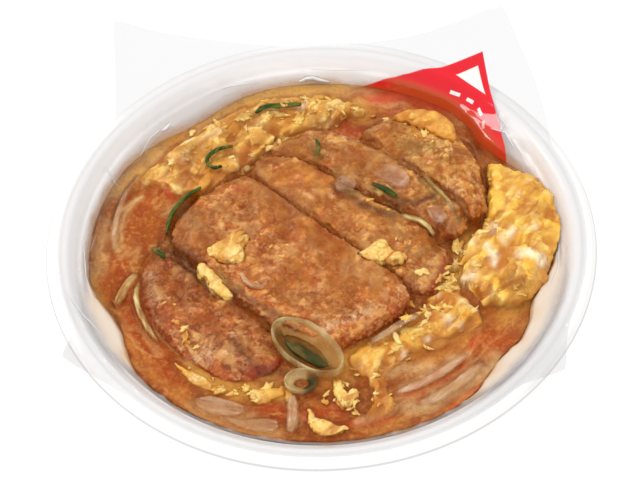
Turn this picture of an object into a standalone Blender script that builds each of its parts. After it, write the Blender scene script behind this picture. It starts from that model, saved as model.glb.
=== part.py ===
"""Katsudon as a ready meal: a sliced breaded cutlet with soft egg and onion in thick sauce.

It lies on a clear square film in a round foamed bowl. Lengths are in millimetres and angles in
degrees; new_object turns them into metres. The Z axis is the bowl's own axis, +Z is up and the
bowl stands on z = 0. Seen from the front, -Y is the near side and +X is to the right.
"""
import math
import random

import bmesh
import bpy
import numpy as np
from mathutils import Vector, geometry, noise

MM = 0.001

# Bowl: driving dimensions
RIM_RADIUS = 92.5
LIP_Z = 46.2
BASE_RADIUS = 55.0
WALL = 1.6
BOWL_SEGMENTS = 52

# Film: a square sheet pressed into the bowl, whose corners stand out over the rim
GAP = 0.3
FILM_THICKNESS = 0.4
FILM_SEGMENTS = 56
CREST_Z = 2.1
FILM_OVER_CREST = CREST_Z + GAP + FILM_THICKNESS / 2

# Sauce: its level under the lip, and how far it falls from the bowl's middle to its far side
SAUCE_RADIUS = 79.0
SAUCE_DEPTH = 4.8
SAUCE_FALL = 1.2
SAUCE_RIPPLE = 0.35

# Cutlet: how far the slices reach below the lip, the depth of the crumbs on their crust, how far in
# the crust and the cut edges round over, and the size of the triangles
SLICE_BOTTOM = -15.0
CRUMB = 0.9
CRUST_ROUND = 5.0
CRUST_DROP = 5.5
CUT_ROUND = 1.0
CUT_DROP = 0.7
SLICE_GRAIN = 3.9

# Egg: how far it reaches below the lip, how far its edge rounds down, its relief and its triangles
EGG_BOTTOM = -11.0
EGG_EDGE_DROP = 3.6
EGG_RELIEF = 0.8
EGG_GRAIN = 4.6
EGG_EDGE_SPACING = 4.8

# Onion, leek and scallion
FLAT_THICKNESS = 1.6
LEAF_THICKNESS = 1.2
STRIP_SIDES = 6
LEEK_POINTS = 10

# Faces that lie as flat as this to each other are joined after a cut, in degrees
FLATNESS = 1.0
SAUCE_FLATNESS = 1.8
SMOOTH_ANGLE = 30.0
MITRE_LIMIT = 1.6

RANDOM_SEED = 7

FOAM_WHITE = (0.90, 0.89, 0.88)
FILM_CLEAR = (0.93, 0.93, 0.94)
SAUCE_BROWN = (0.50, 0.15, 0.04)
CRUST_BROWN = (0.56, 0.21, 0.06)
EGG_YELLOW = (0.78, 0.48, 0.10)
EGG_PALE = (0.85, 0.62, 0.22)
ONION_CLEAR = (0.70, 0.45, 0.24)
ONION_FLAT = (0.66, 0.42, 0.27)
SCALLION_GREEN = (0.12, 0.15, 0.03)
LEEK_PALE = (0.74, 0.66, 0.42)
LEEK_WHITE = (0.80, 0.78, 0.70)
LEEK_DARK = (0.10, 0.13, 0.04)


# Points, curves and heights

def polar(radius, azimuth):
    """Plan position of a point at a radius and an azimuth."""
    angle = math.radians(azimuth)
    return radius * math.cos(angle), radius * math.sin(angle)


def angle_between(a, b):
    """Signed angle from b to a, between -180 and 180."""
    return (a - b + 180.0) % 360.0 - 180.0


def curve_through(points, spacing, closed):
    """Evenly spaced points on a smooth curve through the points, in any number of dimensions."""
    knots = np.array(points, dtype=float)
    count = len(knots)
    dense = []
    for i in range(count if closed else count - 1):
        if closed:
            p0, p1, p2, p3 = (knots[(i + k) % count] for k in (-1, 0, 1, 2))
        else:
            p0, p1, p2, p3 = (knots[min(max(i + k, 0), count - 1)] for k in (-1, 0, 1, 2))
        for t in np.arange(0.0, 1.0, 0.05):
            dense.append(0.5 * (2 * p1 + (p2 - p0) * t + (2 * p0 - 5 * p1 + 4 * p2 - p3) * t ** 2
                                + (3 * p1 - p0 - 3 * p2 + p3) * t ** 3))
    dense.append(knots[0] if closed else knots[-1])
    dense = np.array(dense)
    lengths = np.concatenate([[0.0], np.cumsum(np.linalg.norm(np.diff(dense, axis=0), axis=1))])
    steps = max(int(round(lengths[-1] / spacing)), 3)
    places = np.linspace(0.0, lengths[-1], steps + 1)
    even = np.stack([np.interp(places, lengths, dense[:, k]) for k in range(dense.shape[1])], axis=1)
    return even[:-1] if closed else even


def distance_to_line(point, line):
    """Distance in plan from a point to a row of straight stretches."""
    start = line[:-1]
    along = line[1:] - start
    t = np.sum((point - start) * along, axis=1) / np.maximum(np.sum(along * along, axis=1), 1e-9)
    nearest = start + along * np.clip(t, 0.0, 1.0)[:, None]
    return float(np.min(np.linalg.norm(nearest - point, axis=1)))


def is_inside(point, outline):
    """True where a point lies within a closed outline."""
    x, y = point
    inside = False
    for (x1, y1), (x2, y2) in zip(outline, np.roll(outline, -1, axis=0)):
        if (y1 > y) != (y2 > y) and x < x1 + (y - y1) / (y2 - y1) * (x2 - x1):
            inside = not inside
    return inside


def crumbs(x, y, size, seed):
    """Smooth noise between about -1 and 1 with bumps of the given size."""
    return noise.noise(Vector((x / size, y / size, seed * 3.7))) * 1.6


def sauce_level(y):
    """Height of the sauce, measured from the lip: the bowl is filled a little fuller in front."""
    return -SAUCE_DEPTH - SAUCE_FALL * y / SAUCE_RADIUS


# Meshes and objects

def new_object(name, vertices, faces, color, roughness):
    """An object in metres, whose heights are given from the lip, with its own material."""
    mesh = bpy.data.meshes.new(name)
    place = [(x * MM, y * MM, (z + LIP_Z) * MM) for x, y, z in vertices]
    mesh.from_pydata(place, [], faces)
    edit = bmesh.new()
    edit.from_mesh(mesh)
    bmesh.ops.triangulate(edit, faces=edit.faces)
    bmesh.ops.recalc_face_normals(edit, faces=edit.faces)
    edit.to_mesh(mesh)
    edit.free()
    mesh.shade_smooth()
    mesh.set_sharp_from_angle(angle=math.radians(SMOOTH_ANGLE))
    obj = bpy.data.objects.new(name, mesh)
    bpy.context.scene.collection.objects.link(obj)
    material = bpy.data.materials.new(name)
    material.use_nodes = True
    shader = material.node_tree.nodes["Principled BSDF"]
    shader.inputs["Base Color"].default_value = (*color, 1.0)
    shader.inputs["Roughness"].default_value = roughness
    shader.inputs["Metallic"].default_value = 0.0
    mesh.materials.append(material)
    return obj


def ring_faces(rings, size):
    """Faces between rings of equal size that follow each other in one list of vertices."""
    faces = []
    for ring in range(rings - 1):
        for i in range(size):
            a = ring * size + i
            b = ring * size + (i + 1) % size
            faces.append((a, b, b + size, a + size))
    return faces


def turned(name, profile, segments, color, roughness):
    """A solid turned round the Z axis from a profile of radius and height, closed at both ends."""
    vertices = []
    for radius, z in profile:
        vertices += [(*polar(radius, 360.0 * i / segments), z) for i in range(segments)]
    faces = ring_faces(len(profile), segments)
    faces.append(tuple(range(segments)))
    faces.append(tuple(range(len(vertices) - segments, len(vertices))))
    return new_object(name, vertices, faces, color, roughness)


def plan_points(outline, insets, spacing, rng):
    """Points within an outline: rows at the given insets, then a loose grid over the rest."""
    closed = np.vstack([outline, outline[:1]])
    points = []
    tangents = np.roll(outline, -1, axis=0) - np.roll(outline, 1, axis=0)
    tangents /= np.maximum(np.linalg.norm(tangents, axis=1), 1e-9)[:, None]
    area = np.sum(outline[:, 0] * np.roll(outline[:, 1], -1) - outline[:, 1] * np.roll(outline[:, 0], -1))
    inward = np.stack([-tangents[:, 1], tangents[:, 0]], axis=1) * (1.0 if area > 0 else -1.0)
    for inset in insets:
        for point in outline + inward * inset:
            if is_inside(point, outline) and distance_to_line(point, closed) > inset * 0.85:
                points.append(point)
    clear = (insets[-1] if insets else 0.0) + spacing * 0.6
    low = outline.min(axis=0)
    high = outline.max(axis=0)
    for row, y in enumerate(np.arange(low[1], high[1], spacing * 0.87)):
        for x in np.arange(low[0] + (row % 2) * spacing / 2, high[0], spacing):
            point = np.array([x, y]) + [rng.uniform(-0.22, 0.22) * spacing for _ in range(2)]
            if is_inside(point, outline) and distance_to_line(point, closed) > clear:
                points.append(point)
    return points


def fill_outline(outline, points):
    """Triangles over an outline and the points within it; the outline's points come first."""
    count = len(outline)
    plan = [Vector(p) for p in outline] + [Vector(p) for p in points]
    edges = [(i, (i + 1) % count) for i in range(count)]
    verts, _, faces, _, _, _ = geometry.delaunay_2d_cdt(plan, edges, [], 1, 1e-5)
    return [tuple(v) for v in verts], [tuple(f) for f in faces]


def mound(name, outline, top, bottom, insets, spacing, color, roughness, seed):
    """A solid with a height function for its top, steep sides and a plain bottom.

    top takes a plan position and its distance from the outline; bottom is a height.
    """
    rng = random.Random(RANDOM_SEED + seed)
    closed = np.vstack([outline, outline[:1]])
    plan, top_faces = fill_outline(outline, plan_points(outline, insets, spacing, rng))
    under, under_faces = fill_outline(outline, [])
    count = len(outline)
    vertices = []
    for i, (x, y) in enumerate(plan):
        depth = 0.0 if i < count else distance_to_line(np.array([x, y]), closed)
        vertices.append((x, y, top(x, y, depth)))
    first = len(vertices)
    vertices += [(x, y, bottom) for x, y in under]
    faces = list(top_faces) + [tuple(first + i for i in reversed(face)) for face in under_faces]
    for i in range(count):
        j = (i + 1) % count
        faces.append((i, first + i, first + j, j))
    return new_object(name, vertices, faces, color, roughness)


def sheet(name, outline, height, thickness, spacing, color, roughness, seed):
    """A thin wavy solid whose two faces are split into the same triangles."""
    rng = random.Random(RANDOM_SEED + seed)
    plan, plan_faces = fill_outline(outline, plan_points(outline, [], spacing, rng))
    count = len(outline)
    vertices = [(x, y, height(x, y)) for x, y in plan]
    first = len(vertices)
    vertices += [(x, y, z - thickness) for x, y, z in vertices]
    faces = list(plan_faces) + [tuple(first + i for i in reversed(face)) for face in plan_faces]
    for i in range(count):
        j = (i + 1) % count
        faces.append((i, first + i, first + j, j))
    return new_object(name, vertices, faces, color, roughness)


def strip(name, path, width, thickness, color, roughness, lean=0.0, closed=False, taper=0.45, spacing=3.2):
    """A flat shred that follows a path of plan positions and heights; lean turns its broad side up."""
    line = curve_through(path, spacing, closed)
    count = len(line)
    sides = STRIP_SIDES
    vertices = []
    for i, centre in enumerate(line):
        ahead = line[(i + 1) % count] if closed else line[min(i + 1, count - 1)]
        behind = line[i - 1] if closed else line[max(i - 1, 0)]
        along = (ahead - behind) / np.linalg.norm(ahead - behind)
        across = np.cross(along, (0.0, 0.0, 1.0))
        across /= np.linalg.norm(across)
        up = np.cross(across, along)
        turn = math.radians(lean)
        broad = across * math.cos(turn) + up * math.sin(turn)
        narrow = up * math.cos(turn) - across * math.sin(turn)
        end = 1.0 if closed else taper + (1.0 - taper) * min(1.0, 4.0 * min(i, count - 1 - i) / count + 0.2)
        for k in range(sides):
            angle = 2.0 * math.pi * k / sides
            offset = broad * math.cos(angle) * width / 2 * end + narrow * math.sin(angle) * thickness / 2
            vertices.append(tuple(centre + offset))
    faces = ring_faces(count, sides)
    if closed:
        for k in range(sides):
            a = (count - 1) * sides + k
            b = (count - 1) * sides + (k + 1) % sides
            faces.append((a, b, (k + 1) % sides, k))
    else:
        faces.append(tuple(range(sides)))
        faces.append(tuple(range(len(vertices) - sides, len(vertices))))
    return new_object(name, vertices, faces, color, roughness)


# Fitting the pieces into one another

def grown_copy(obj, amount):
    """A copy of a piece pushed out by an amount, to cut its neighbours clear of it."""
    mesh = obj.data.copy()
    edit = bmesh.new()
    edit.from_mesh(mesh)
    edit.normal_update()
    for vertex in edit.verts:
        vertex.co += vertex.normal * amount * MM * min(vertex.calc_shell_factor(), MITRE_LIMIT)
    edit.to_mesh(mesh)
    edit.free()
    return bpy.data.objects.new(obj.name + "_grown", mesh)


def tidy_cut(mesh, flatness):
    """Joins faces that lie flat to each other, and drops scraps loose from the main body."""
    edit = bmesh.new()
    edit.from_mesh(mesh)
    bmesh.ops.dissolve_limit(edit, angle_limit=math.radians(flatness), verts=edit.verts, edges=edit.edges)
    bmesh.ops.triangulate(edit, faces=edit.faces)
    left = set(edit.verts)
    bodies = []
    while left:
        stack = [left.pop()]
        body = set(stack)
        while stack:
            for edge in stack.pop().link_edges:
                for vertex in edge.verts:
                    if vertex in left:
                        left.discard(vertex)
                        body.add(vertex)
                        stack.append(vertex)
        bodies.append(body)
    bodies.sort(key=box_volume, reverse=True)
    for body in bodies[1:]:
        bmesh.ops.delete(edit, geom=list(body), context="VERTS")
    edit.to_mesh(mesh)
    edit.free()


def box_volume(vertices):
    """Volume of the box round some vertices."""
    places = np.array([vertex.co[:] for vertex in vertices])
    return float(np.prod(places.max(axis=0) - places.min(axis=0) + 1e-6))


def bounds(obj):
    """Lowest and highest corners of an object's mesh."""
    places = np.array([vertex.co[:] for vertex in obj.data.vertices])
    return places.min(axis=0), places.max(axis=0)


def boxes_meet(first, second):
    """True where the boxes round two objects overlap, with a little to spare."""
    low_a, high_a = bounds(first)
    low_b, high_b = bounds(second)
    spare = 2 * GAP * MM
    return bool(np.all(low_a - spare < high_b) and np.all(low_b - spare < high_a))


def cut_clear(obj, neighbours, flatness):
    """Cuts a piece clear of its neighbours by the gap."""
    close = [other for other in neighbours if boxes_meet(obj, other)]
    if not close:
        return
    cutters = bpy.data.collections.new(obj.name + "_cutters")
    bpy.context.scene.collection.children.link(cutters)
    for other in close:
        cutters.objects.link(grown_copy(other, GAP))
    cut = obj.modifiers.new("clear", "BOOLEAN")
    cut.operation = "DIFFERENCE"
    cut.solver = "EXACT"
    cut.use_self = True
    cut.operand_type = "COLLECTION"
    cut.collection = cutters
    bpy.context.view_layer.update()
    evaluated = obj.evaluated_get(bpy.context.evaluated_depsgraph_get())
    result = bpy.data.meshes.new_from_object(evaluated)
    obj.modifiers.remove(cut)
    for cutter in list(cutters.objects):
        bpy.data.objects.remove(cutter)
    bpy.data.collections.remove(cutters)
    tidy_cut(result, flatness)
    result.shade_smooth()
    result.set_sharp_from_angle(angle=math.radians(SMOOTH_ANGLE))
    obj.data = result


# Bowl

BOWL_INSIDE = [
    (BASE_RADIUS - 3.0, WALL - LIP_Z), (58.5, -39.5), (79.0, -5.8), (80.6, -2.6), (81.8, -2.0),
    (85.2, 1.8), (87.6, CREST_Z),
]
BOWL_RIM = [(89.3, 1.4), (92.0, 0.6), (RIM_RADIUS, -0.4), (91.2, -1.3), (86.4, -0.8)]
BOWL_OUTSIDE = [(82.6, -4.4), (60.6, -40.6), (57.2, -44.2), (BASE_RADIUS, -LIP_Z)]


def make_bowl():
    """The round foamed bowl: flat base, sloping wall, ledge, raised ring and outer lip."""
    profile = BOWL_INSIDE + BOWL_RIM + BOWL_OUTSIDE
    return turned("bowl", profile, BOWL_SEGMENTS, FOAM_WHITE, 0.35)


# Film

# Each corner of the film: azimuth, radius and height of its tip, and for the edge on each side of
# it the azimuth of its foot on the bowl and how far the edge bulges out from a straight line
FILM_CORNERS = {
    "back_right": (52.2, 107.5, 24.0, (26.0, 2.5), (81.0, 0.0)),
    "back_left": (128.3, 112.5, 20.0, (97.0, 0.0), (138.0, 4.0)),
    "front_left": (213.2, 101.0, 15.0, (203.0, 0.0), (223.0, 0.0)),
    "front_right": (320.4, 99.7, 10.0, (316.0, 0.0), (333.0, 0.0)),
}
FILM_SIDE_RADIUS = 89.0
FILM_CREST_RADIUS = 87.8
STEPS_TO_EDGE = 2

# Folds that pull the film inwards beside its corners: azimuth, half width and depth
FILM_FOLDS = [(37.0, 9.0, 5.5), (125.0, 13.0, 4.5), (203.0, 9.0, 5.5), (320.0, 9.0, 4.5), (341.0, 9.0, 5.5)]


def fold_depth(azimuth):
    """How far the film is pulled in from the bowl's wall at an azimuth."""
    return sum(depth * math.exp(-(angle_between(azimuth, centre) / half) ** 2)
               for centre, half, depth in FILM_FOLDS)


def radius_on_edge(azimuth, foot, tip):
    """Radius at an azimuth of the straight edge from a foot to a tip, both given in plan."""
    ray = np.array(polar(1.0, azimuth))
    along = np.array(tip) - np.array(foot)
    across = np.array([along[1], -along[0]])
    return float(np.dot(foot, across) / np.dot(ray, across))


def film_edge(azimuth):
    """Radius of the film's edge, and the height of the corner's tip and its radius there."""
    edge = FILM_SIDE_RADIUS
    for tip_azimuth, tip_radius, tip_z, *feet in FILM_CORNERS.values():
        for foot, bulge in feet:
            share = angle_between(azimuth, foot) / angle_between(tip_azimuth, foot)
            if 0.0 <= share <= 1.0:
                foot_place = polar(FILM_SIDE_RADIUS, foot)
                on_edge = radius_on_edge(azimuth, foot_place, polar(tip_radius, tip_azimuth))
                return max(edge, on_edge + bulge * math.sin(math.pi * share)), tip_z, tip_radius
    return edge, FILM_OVER_CREST, edge


def corner_height(radius, azimuth, tip_z, tip_radius):
    """Height of the free part of the film, which rises from the ring's crest to a corner's tip."""
    share = (radius - FILM_CREST_RADIUS) / max(tip_radius - FILM_CREST_RADIUS, 1.0)
    rise = (tip_z - FILM_OVER_CREST) * share ** 1.15
    wave = 0.06 * rise * math.sin(math.radians(azimuth * 14.0))
    return FILM_OVER_CREST + rise + wave


def film_path(azimuth, steps_out):
    """Middle of the film from the bowl's floor to its edge, as radius and height."""
    fold = fold_depth(azimuth)
    floor_z = WALL - LIP_Z + GAP + FILM_THICKNESS / 2 + 0.05
    path = [
        (BASE_RADIUS - 3.6, floor_z), (57.9, -39.2), (71.0 - 0.75 * fold, -17.7), (78.3 - fold, -5.5),
        (80.0 - fold, -2.3), (81.5 - 0.6 * fold, -1.35), (84.9, 2.3), (FILM_CREST_RADIUS, FILM_OVER_CREST),
    ]
    edge, tip_z, tip_radius = film_edge(azimuth)
    for i in range(1, steps_out + 1):
        radius = FILM_CREST_RADIUS + (edge - FILM_CREST_RADIUS) * i / steps_out
        path.append((radius, corner_height(radius, azimuth, tip_z, tip_radius)))
    return path


def shifted(path, amount):
    """A path of radius and height moved sideways: positive towards the bowl's inside."""
    line = np.array(path)
    along = np.gradient(line, axis=0)
    along /= np.linalg.norm(along, axis=1)[:, None]
    normal = np.stack([-along[:, 1], along[:, 0]], axis=1)
    return line + normal * amount


def film_azimuths():
    """Even azimuths round the film, each corner's tip taking the place of the one nearest to it."""
    azimuths = [360.0 * i / FILM_SEGMENTS for i in range(FILM_SEGMENTS)]
    for tip_azimuth, *_ in FILM_CORNERS.values():
        nearest = min(range(FILM_SEGMENTS), key=lambda i: abs(angle_between(azimuths[i], tip_azimuth)))
        azimuths[nearest] = tip_azimuth
    return azimuths


def make_film():
    """The clear film: one thin closed sheet with folds beside its corners."""
    half = FILM_THICKNESS / 2
    inner = []
    outer = []
    for azimuth in film_azimuths():
        path = film_path(azimuth, STEPS_TO_EDGE)
        inner.append([(*polar(r, azimuth), z) for r, z in shifted(path, half)])
        outer.append([(*polar(r, azimuth), z) for r, z in shifted(path, -half)])
    rings = len(inner[0])
    vertices = [inner[i][k] for k in range(rings) for i in range(FILM_SEGMENTS)]
    vertices += [outer[i][k] for k in reversed(range(rings)) for i in range(FILM_SEGMENTS)]
    faces = ring_faces(2 * rings, FILM_SEGMENTS)
    last = len(vertices)
    faces.append(tuple(range(FILM_SEGMENTS)))
    faces.append(tuple(range(last - FILM_SEGMENTS, last)))
    return new_object("film", vertices, faces, FILM_CLEAR, 0.12)


# Sauce

def sauce_side(azimuth):
    """The sauce's side against the film, from the floor up to its level."""
    side = shifted(film_path(azimuth, 1)[:5], FILM_THICKNESS / 2 + GAP + 0.1)
    heights = side[:, 1]
    radius = SAUCE_RADIUS
    for _ in range(3):
        level = sauce_level(radius * math.sin(math.radians(azimuth)))
        radius = float(np.interp(level, heights, side[:, 0]))
    below = [(float(r), float(z)) for r, z in side if z < level - 2.5]
    return below, radius, level


def make_sauce():
    """The thick sauce, up to its level, with a slightly uneven surface."""
    inward_steps = (0.975, 0.86, 0.68, 0.44)
    columns = []
    for azimuth in film_azimuths():
        below, radius, level = sauce_side(azimuth)
        column = [(*polar(r, azimuth), z) for r, z in below]
        column.append((*polar(radius, azimuth), level))
        for share in inward_steps:
            x, y = polar(radius * share, azimuth)
            column.append((x, y, sauce_level(y) + SAUCE_RIPPLE * crumbs(x, y, 16.0, 1)))
        columns.append(column)
    rings = len(columns[0])
    vertices = [column[k] for k in range(rings) for column in columns]
    faces = ring_faces(rings, len(columns))
    last = len(vertices)
    faces.append(tuple(range(len(columns))))
    faces.append(tuple(range(last - len(columns), last)))
    return new_object("sauce", vertices, faces, SAUCE_BROWN, 0.15)


# Cutlet

# Each slice runs from the back left to the front right. near is its side towards the front left
# and far the side towards the back right, in the same direction; start and end lie on its two
# crusted ends. Heights are those of the top at the start, the middle and the end.
SLICES = {
    "cutlet_slice_1": {
        "near": [(-58, 2), (-61, -8), (-60, -18), (-56, -29), (-48, -41), (-38, -50), (-28, -54), (-19, -52)],
        "far": [(-54, 1), (-46, -6), (-38, -14), (-29, -22), (-21, -31), (-15, -40)],
        "start": [], "end": [(-13, -46)], "crust": ("near", "start", "end"), "tops": (-2.2, -1.0, -1.6),
    },
    "cutlet_slice_2": {
        "near": [(-49, 1), (-41, -7), (-33, -17), (-26, -25), (-18, -32), (-8, -38), (1, -43)],
        "far": [(-26, 33), (-17, 24), (-7, 14), (3, 4), (12, -5), (21, -13), (28, -20)],
        "start": [(-49, 10), (-44, 19), (-36, 27)], "end": [(27, -27), (19, -33), (10, -39)],
        "crust": ("start", "end"), "tops": (1.6, 3.0, 2.8),
    },
    "cutlet_slice_3": {
        "near": [(-24, 35), (-15, 25), (-5, 15), (5, 5), (14, -4), (23, -12), (30, -19)],
        "far": [(-15, 41), (-6, 37), (1, 32), (9, 24), (20, 16), (30, 9), (39, 1)],
        "start": [(-21, 40)], "end": [(43, -5), (41, -13), (36, -20)],
        "crust": ("start", "end"), "tops": (0.6, 2.4, 1.4),
    },
    "cutlet_slice_4": {
        "near": [(-14, 43), (-5, 39), (2, 34), (10, 26), (21, 18), (31, 11), (40, 3)],
        "far": [(-7, 52), (5, 50), (12, 46), (20, 40), (28, 32), (38, 22), (46, 14), (50, 10)],
        "start": [(-16, 48)], "end": [(47, 5)],
        "crust": ("start", "end"), "tops": (0.2, 2.6, 3.0),
    },
    "cutlet_slice_5": {
        "near": [(15, 47), (22, 41), (30, 33), (40, 23), (48, 15), (52, 9)],
        "far": [(19, 52), (27, 55), (36, 56), (44, 53), (50, 43), (54, 34), (56, 25), (56, 14)],
        "start": [], "end": [], "crust": ("far", "start", "end"), "tops": (2.6, 4.6, 4.0),
    },
}


def slice_outline(shape):
    """Outline of a slice in plan, and the stretches of it that are crust."""
    sides = {
        "end": [shape["near"][-1], *reversed(shape["end"]), shape["far"][-1]],
        "start": [shape["far"][0], *reversed(shape["start"]), shape["near"][0]],
        "near": shape["near"],
        "far": list(reversed(shape["far"])),
    }
    outline = []
    crust = []
    for key in ("near", "end", "far", "start"):
        stretch = curve_through(sides[key], SLICE_GRAIN, False)
        outline += list(stretch[:-1])
        if key in shape["crust"]:
            crust.append(stretch)
            for i in range(1 - len(stretch), 0):
                x, y = outline[i]
                outline[i] = (x + 0.7 * crumbs(x, y, 4.0, 31), y + 0.7 * crumbs(x, y, 4.0, 32))
    return np.array(outline, dtype=float), crust


def make_slice(name, shape, number):
    """One slice: crumbed crust on top and at its rounded ends, plain cut sides."""
    outline, crust = slice_outline(shape)
    start = np.mean([shape["near"][0], shape["far"][0]], axis=0)
    end = np.mean([shape["near"][-1], shape["far"][-1]], axis=0)
    along = end - start
    rng = random.Random(RANDOM_SEED * 10 + number)

    def top(x, y, depth):
        place = np.array([x, y], dtype=float)
        share = float(np.clip(np.dot(place - start, along) / np.dot(along, along), 0.0, 1.0))
        height = float(np.interp(share, (0.0, 0.5, 1.0), shape["tops"]))
        to_crust = min(distance_to_line(place, stretch) for stretch in crust)
        round_crust = max(1.0 - to_crust / CRUST_ROUND, 0.0)
        round_cut = max(1.0 - depth / CUT_ROUND, 0.0)
        height -= CRUST_DROP * (1.0 - math.sqrt(1.0 - round_crust ** 2)) + CUT_DROP * round_cut ** 2
        relief = 0.6 * crumbs(x, y, 11.0, number) + CRUMB * crumbs(x, y, 3.6, number + 20)
        return height + relief + rng.uniform(-0.6, 0.6) * CRUMB

    return mound(name, outline, top, SLICE_BOTTOM, (CUT_ROUND,), SLICE_GRAIN, CRUST_BROWN, 0.4, number)


# Egg

# Each mass of egg: outline, height of its top, how far in its edge rounds over, and its curds,
# which are raised lumps given by plan position, radius and height
EGGS = {
    "egg_right": {
        "outline": [(59, 35), (64, 34), (70, 31), (77, 25), (82, 14), (82, 2), (80, -6), (76, -10), (76, -17),
                    (71, -21), (67, -26), (62, -28), (58, -25), (54, -27), (51, -23), (48, -17), (46, -10),
                    (47, -4), (50, 3), (56, 8), (57, 14), (57, 24)],
        "top": 0.2, "edge": 4.0,
        "curds": [(62, 8, 5, 2.4), (70, 14, 6, 1.6), (68, 7, 4, 2.0), (69, -9, 5, 2.4), (58, 2, 5, 1.6),
                  (53, -8, 4, 1.8), (65, -15, 4, 1.6), (68, 24, 5, 1.4), (56, -19, 4, 1.6), (74, -3, 4, 1.4)],
    },
    "egg_lower": {
        "outline": [(7, -43), (14, -38), (22, -32), (29, -28), (34, -22), (38, -17), (42, -11), (46, -15),
                    (48, -21), (52, -28), (54, -32), (51, -36), (47, -37), (42, -39), (35, -41), (30, -46),
                    (24, -50), (21, -55), (23, -61), (22, -67), (18, -71), (12, -73), (10, -69), (14, -63),
                    (14, -57), (11, -53), (7, -49)],
        "top": -2.9, "edge": 4.0,
        "curds": [(14, -46, 3, 1.6), (21, -43, 3, 1.4), (25, -41, 3, 1.6), (31, -37, 4, 1.8),
                  (36, -31, 3, 1.8), (42, -15, 3, 2.2), (46, -21, 3, 1.8), (43, -30, 4, 1.8),
                  (51, -32, 3, 1.6), (18, -67, 3, 1.4), (18, -59, 2, 1.2)],
    },
    "egg_left": {
        "outline": [(-52, -41), (-46, -46), (-39, -51), (-31, -55), (-22, -57), (-13, -55), (-11, -59),
                    (-17, -61), (-21, -65), (-25, -61), (-33, -60), (-41, -56), (-48, -50)],
        "top": -2.9, "edge": 3.0,
        "curds": [(-44, -50, 3, 1.2), (-30, -58, 3, 1.4), (-18, -60, 3, 1.4), (-14, -58, 2, 1.2)],
    },
    "egg_back": {
        "outline": [(-63, 35), (-57, 42), (-51, 49), (-45, 54), (-40, 57), (-33, 63), (-27, 67), (-20, 70),
                    (-10, 71), (1, 70), (10, 68), (18, 65), (17, 61), (10, 60), (5, 56), (-2, 56), (-8, 54),
                    (-16, 48), (-21, 41), (-26, 36), (-34, 31), (-41, 27), (-49, 28), (-56, 32), (-62, 31)],
        "top": -2.6, "edge": 4.0,
        "curds": [(-22, 48, 4, 2.2), (-34, 50, 4, 2.0), (-10, 66, 4, 1.8), (4, 64, 4, 1.8),
                  (-47, 44, 4, 1.8), (-27, 59, 4, 1.8), (13, 63, 2, 1.4), (-33, 38, 4, 1.6),
                  (-41, 36, 3, 1.6), (-57, 37, 3, 1.6), (-17, 58, 4, 1.6)],
    },
}

# Torn bits of egg: outline, height of the top, how deep the bit is, and how its edge rounds
EGG_BITS = {
    "egg_on_slice_5": ([(26, 52), (31, 55), (37, 55), (43, 53), (47, 47), (48, 41), (44, 41), (39, 45),
                        (33, 49)], 5.6, 3.6, 3.0),
    "egg_bit_left": ([(-38, -3), (-33, 1), (-28, 3), (-24, 2), (-26, -3), (-26, -8), (-32, -9), (-36, -6)],
                     4.8, 3.4, 2.0),
    "egg_bit_gap": ([(-42, -9), (-39, -7), (-35, -11), (-31, -17), (-30, -22), (-35, -20), (-39, -14)],
                    2.0, 9.0, 1.5),
    "egg_bit_middle": ([(12, -7), (16, -5), (20, -1), (23, -3), (23, -6), (28, -8), (27, -11), (19, -11)],
                       4.6, 3.4, 1.5),
    "egg_bit_fork": ([(2, -54), (5, -54), (6.5, -60), (9, -57), (11, -59), (9.5, -63), (7, -67), (4, -64),
                      (2.5, -59)], -2.4, 3.6, 1.2),
    "egg_bit_star": ([(-6, -65), (-4, -69), (0, -70), (2, -72), (7, -73), (4, -76), (-1, -77), (-5, -74)],
                     -2.2, 3.8, 1.2),
}


def make_egg(name, shape, number):
    """One soft mass of egg with its curds."""
    outline = curve_through(shape["outline"], EGG_EDGE_SPACING, True)

    def top(x, y, depth):
        edge = max(1.0 - depth / shape["edge"], 0.0)
        height = shape["top"] - EGG_EDGE_DROP * (1.0 - math.sqrt(1.0 - edge ** 2))
        for curd_x, curd_y, radius, rise in shape["curds"]:
            distance = math.hypot(x - curd_x, y - curd_y) / radius
            height += rise * math.exp(-distance ** 2) * (1.0 - edge)
        return height + EGG_RELIEF * crumbs(x, y, 5.0, number + 40)

    insets = (shape["edge"] * 0.4,)
    return mound(name, outline, top, EGG_BOTTOM, insets, EGG_GRAIN, EGG_YELLOW, 0.3, number + 40)


def make_egg_bit(name, shape, number):
    """A small torn bit of egg."""
    points, top_z, depth_below, edge_width = shape
    outline = curve_through(points, 2.6, True)

    def top(x, y, depth):
        edge = max(1.0 - depth / edge_width, 0.0)
        return top_z - 1.1 * (1.0 - math.sqrt(1.0 - edge ** 2)) + 0.3 * crumbs(x, y, 4.0, number + 60)

    insets = (edge_width * 0.5,)
    return mound(name, outline, top, top_z - depth_below, insets, 3.4, EGG_PALE, 0.3, number + 60)


# Onion and scallion

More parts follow.
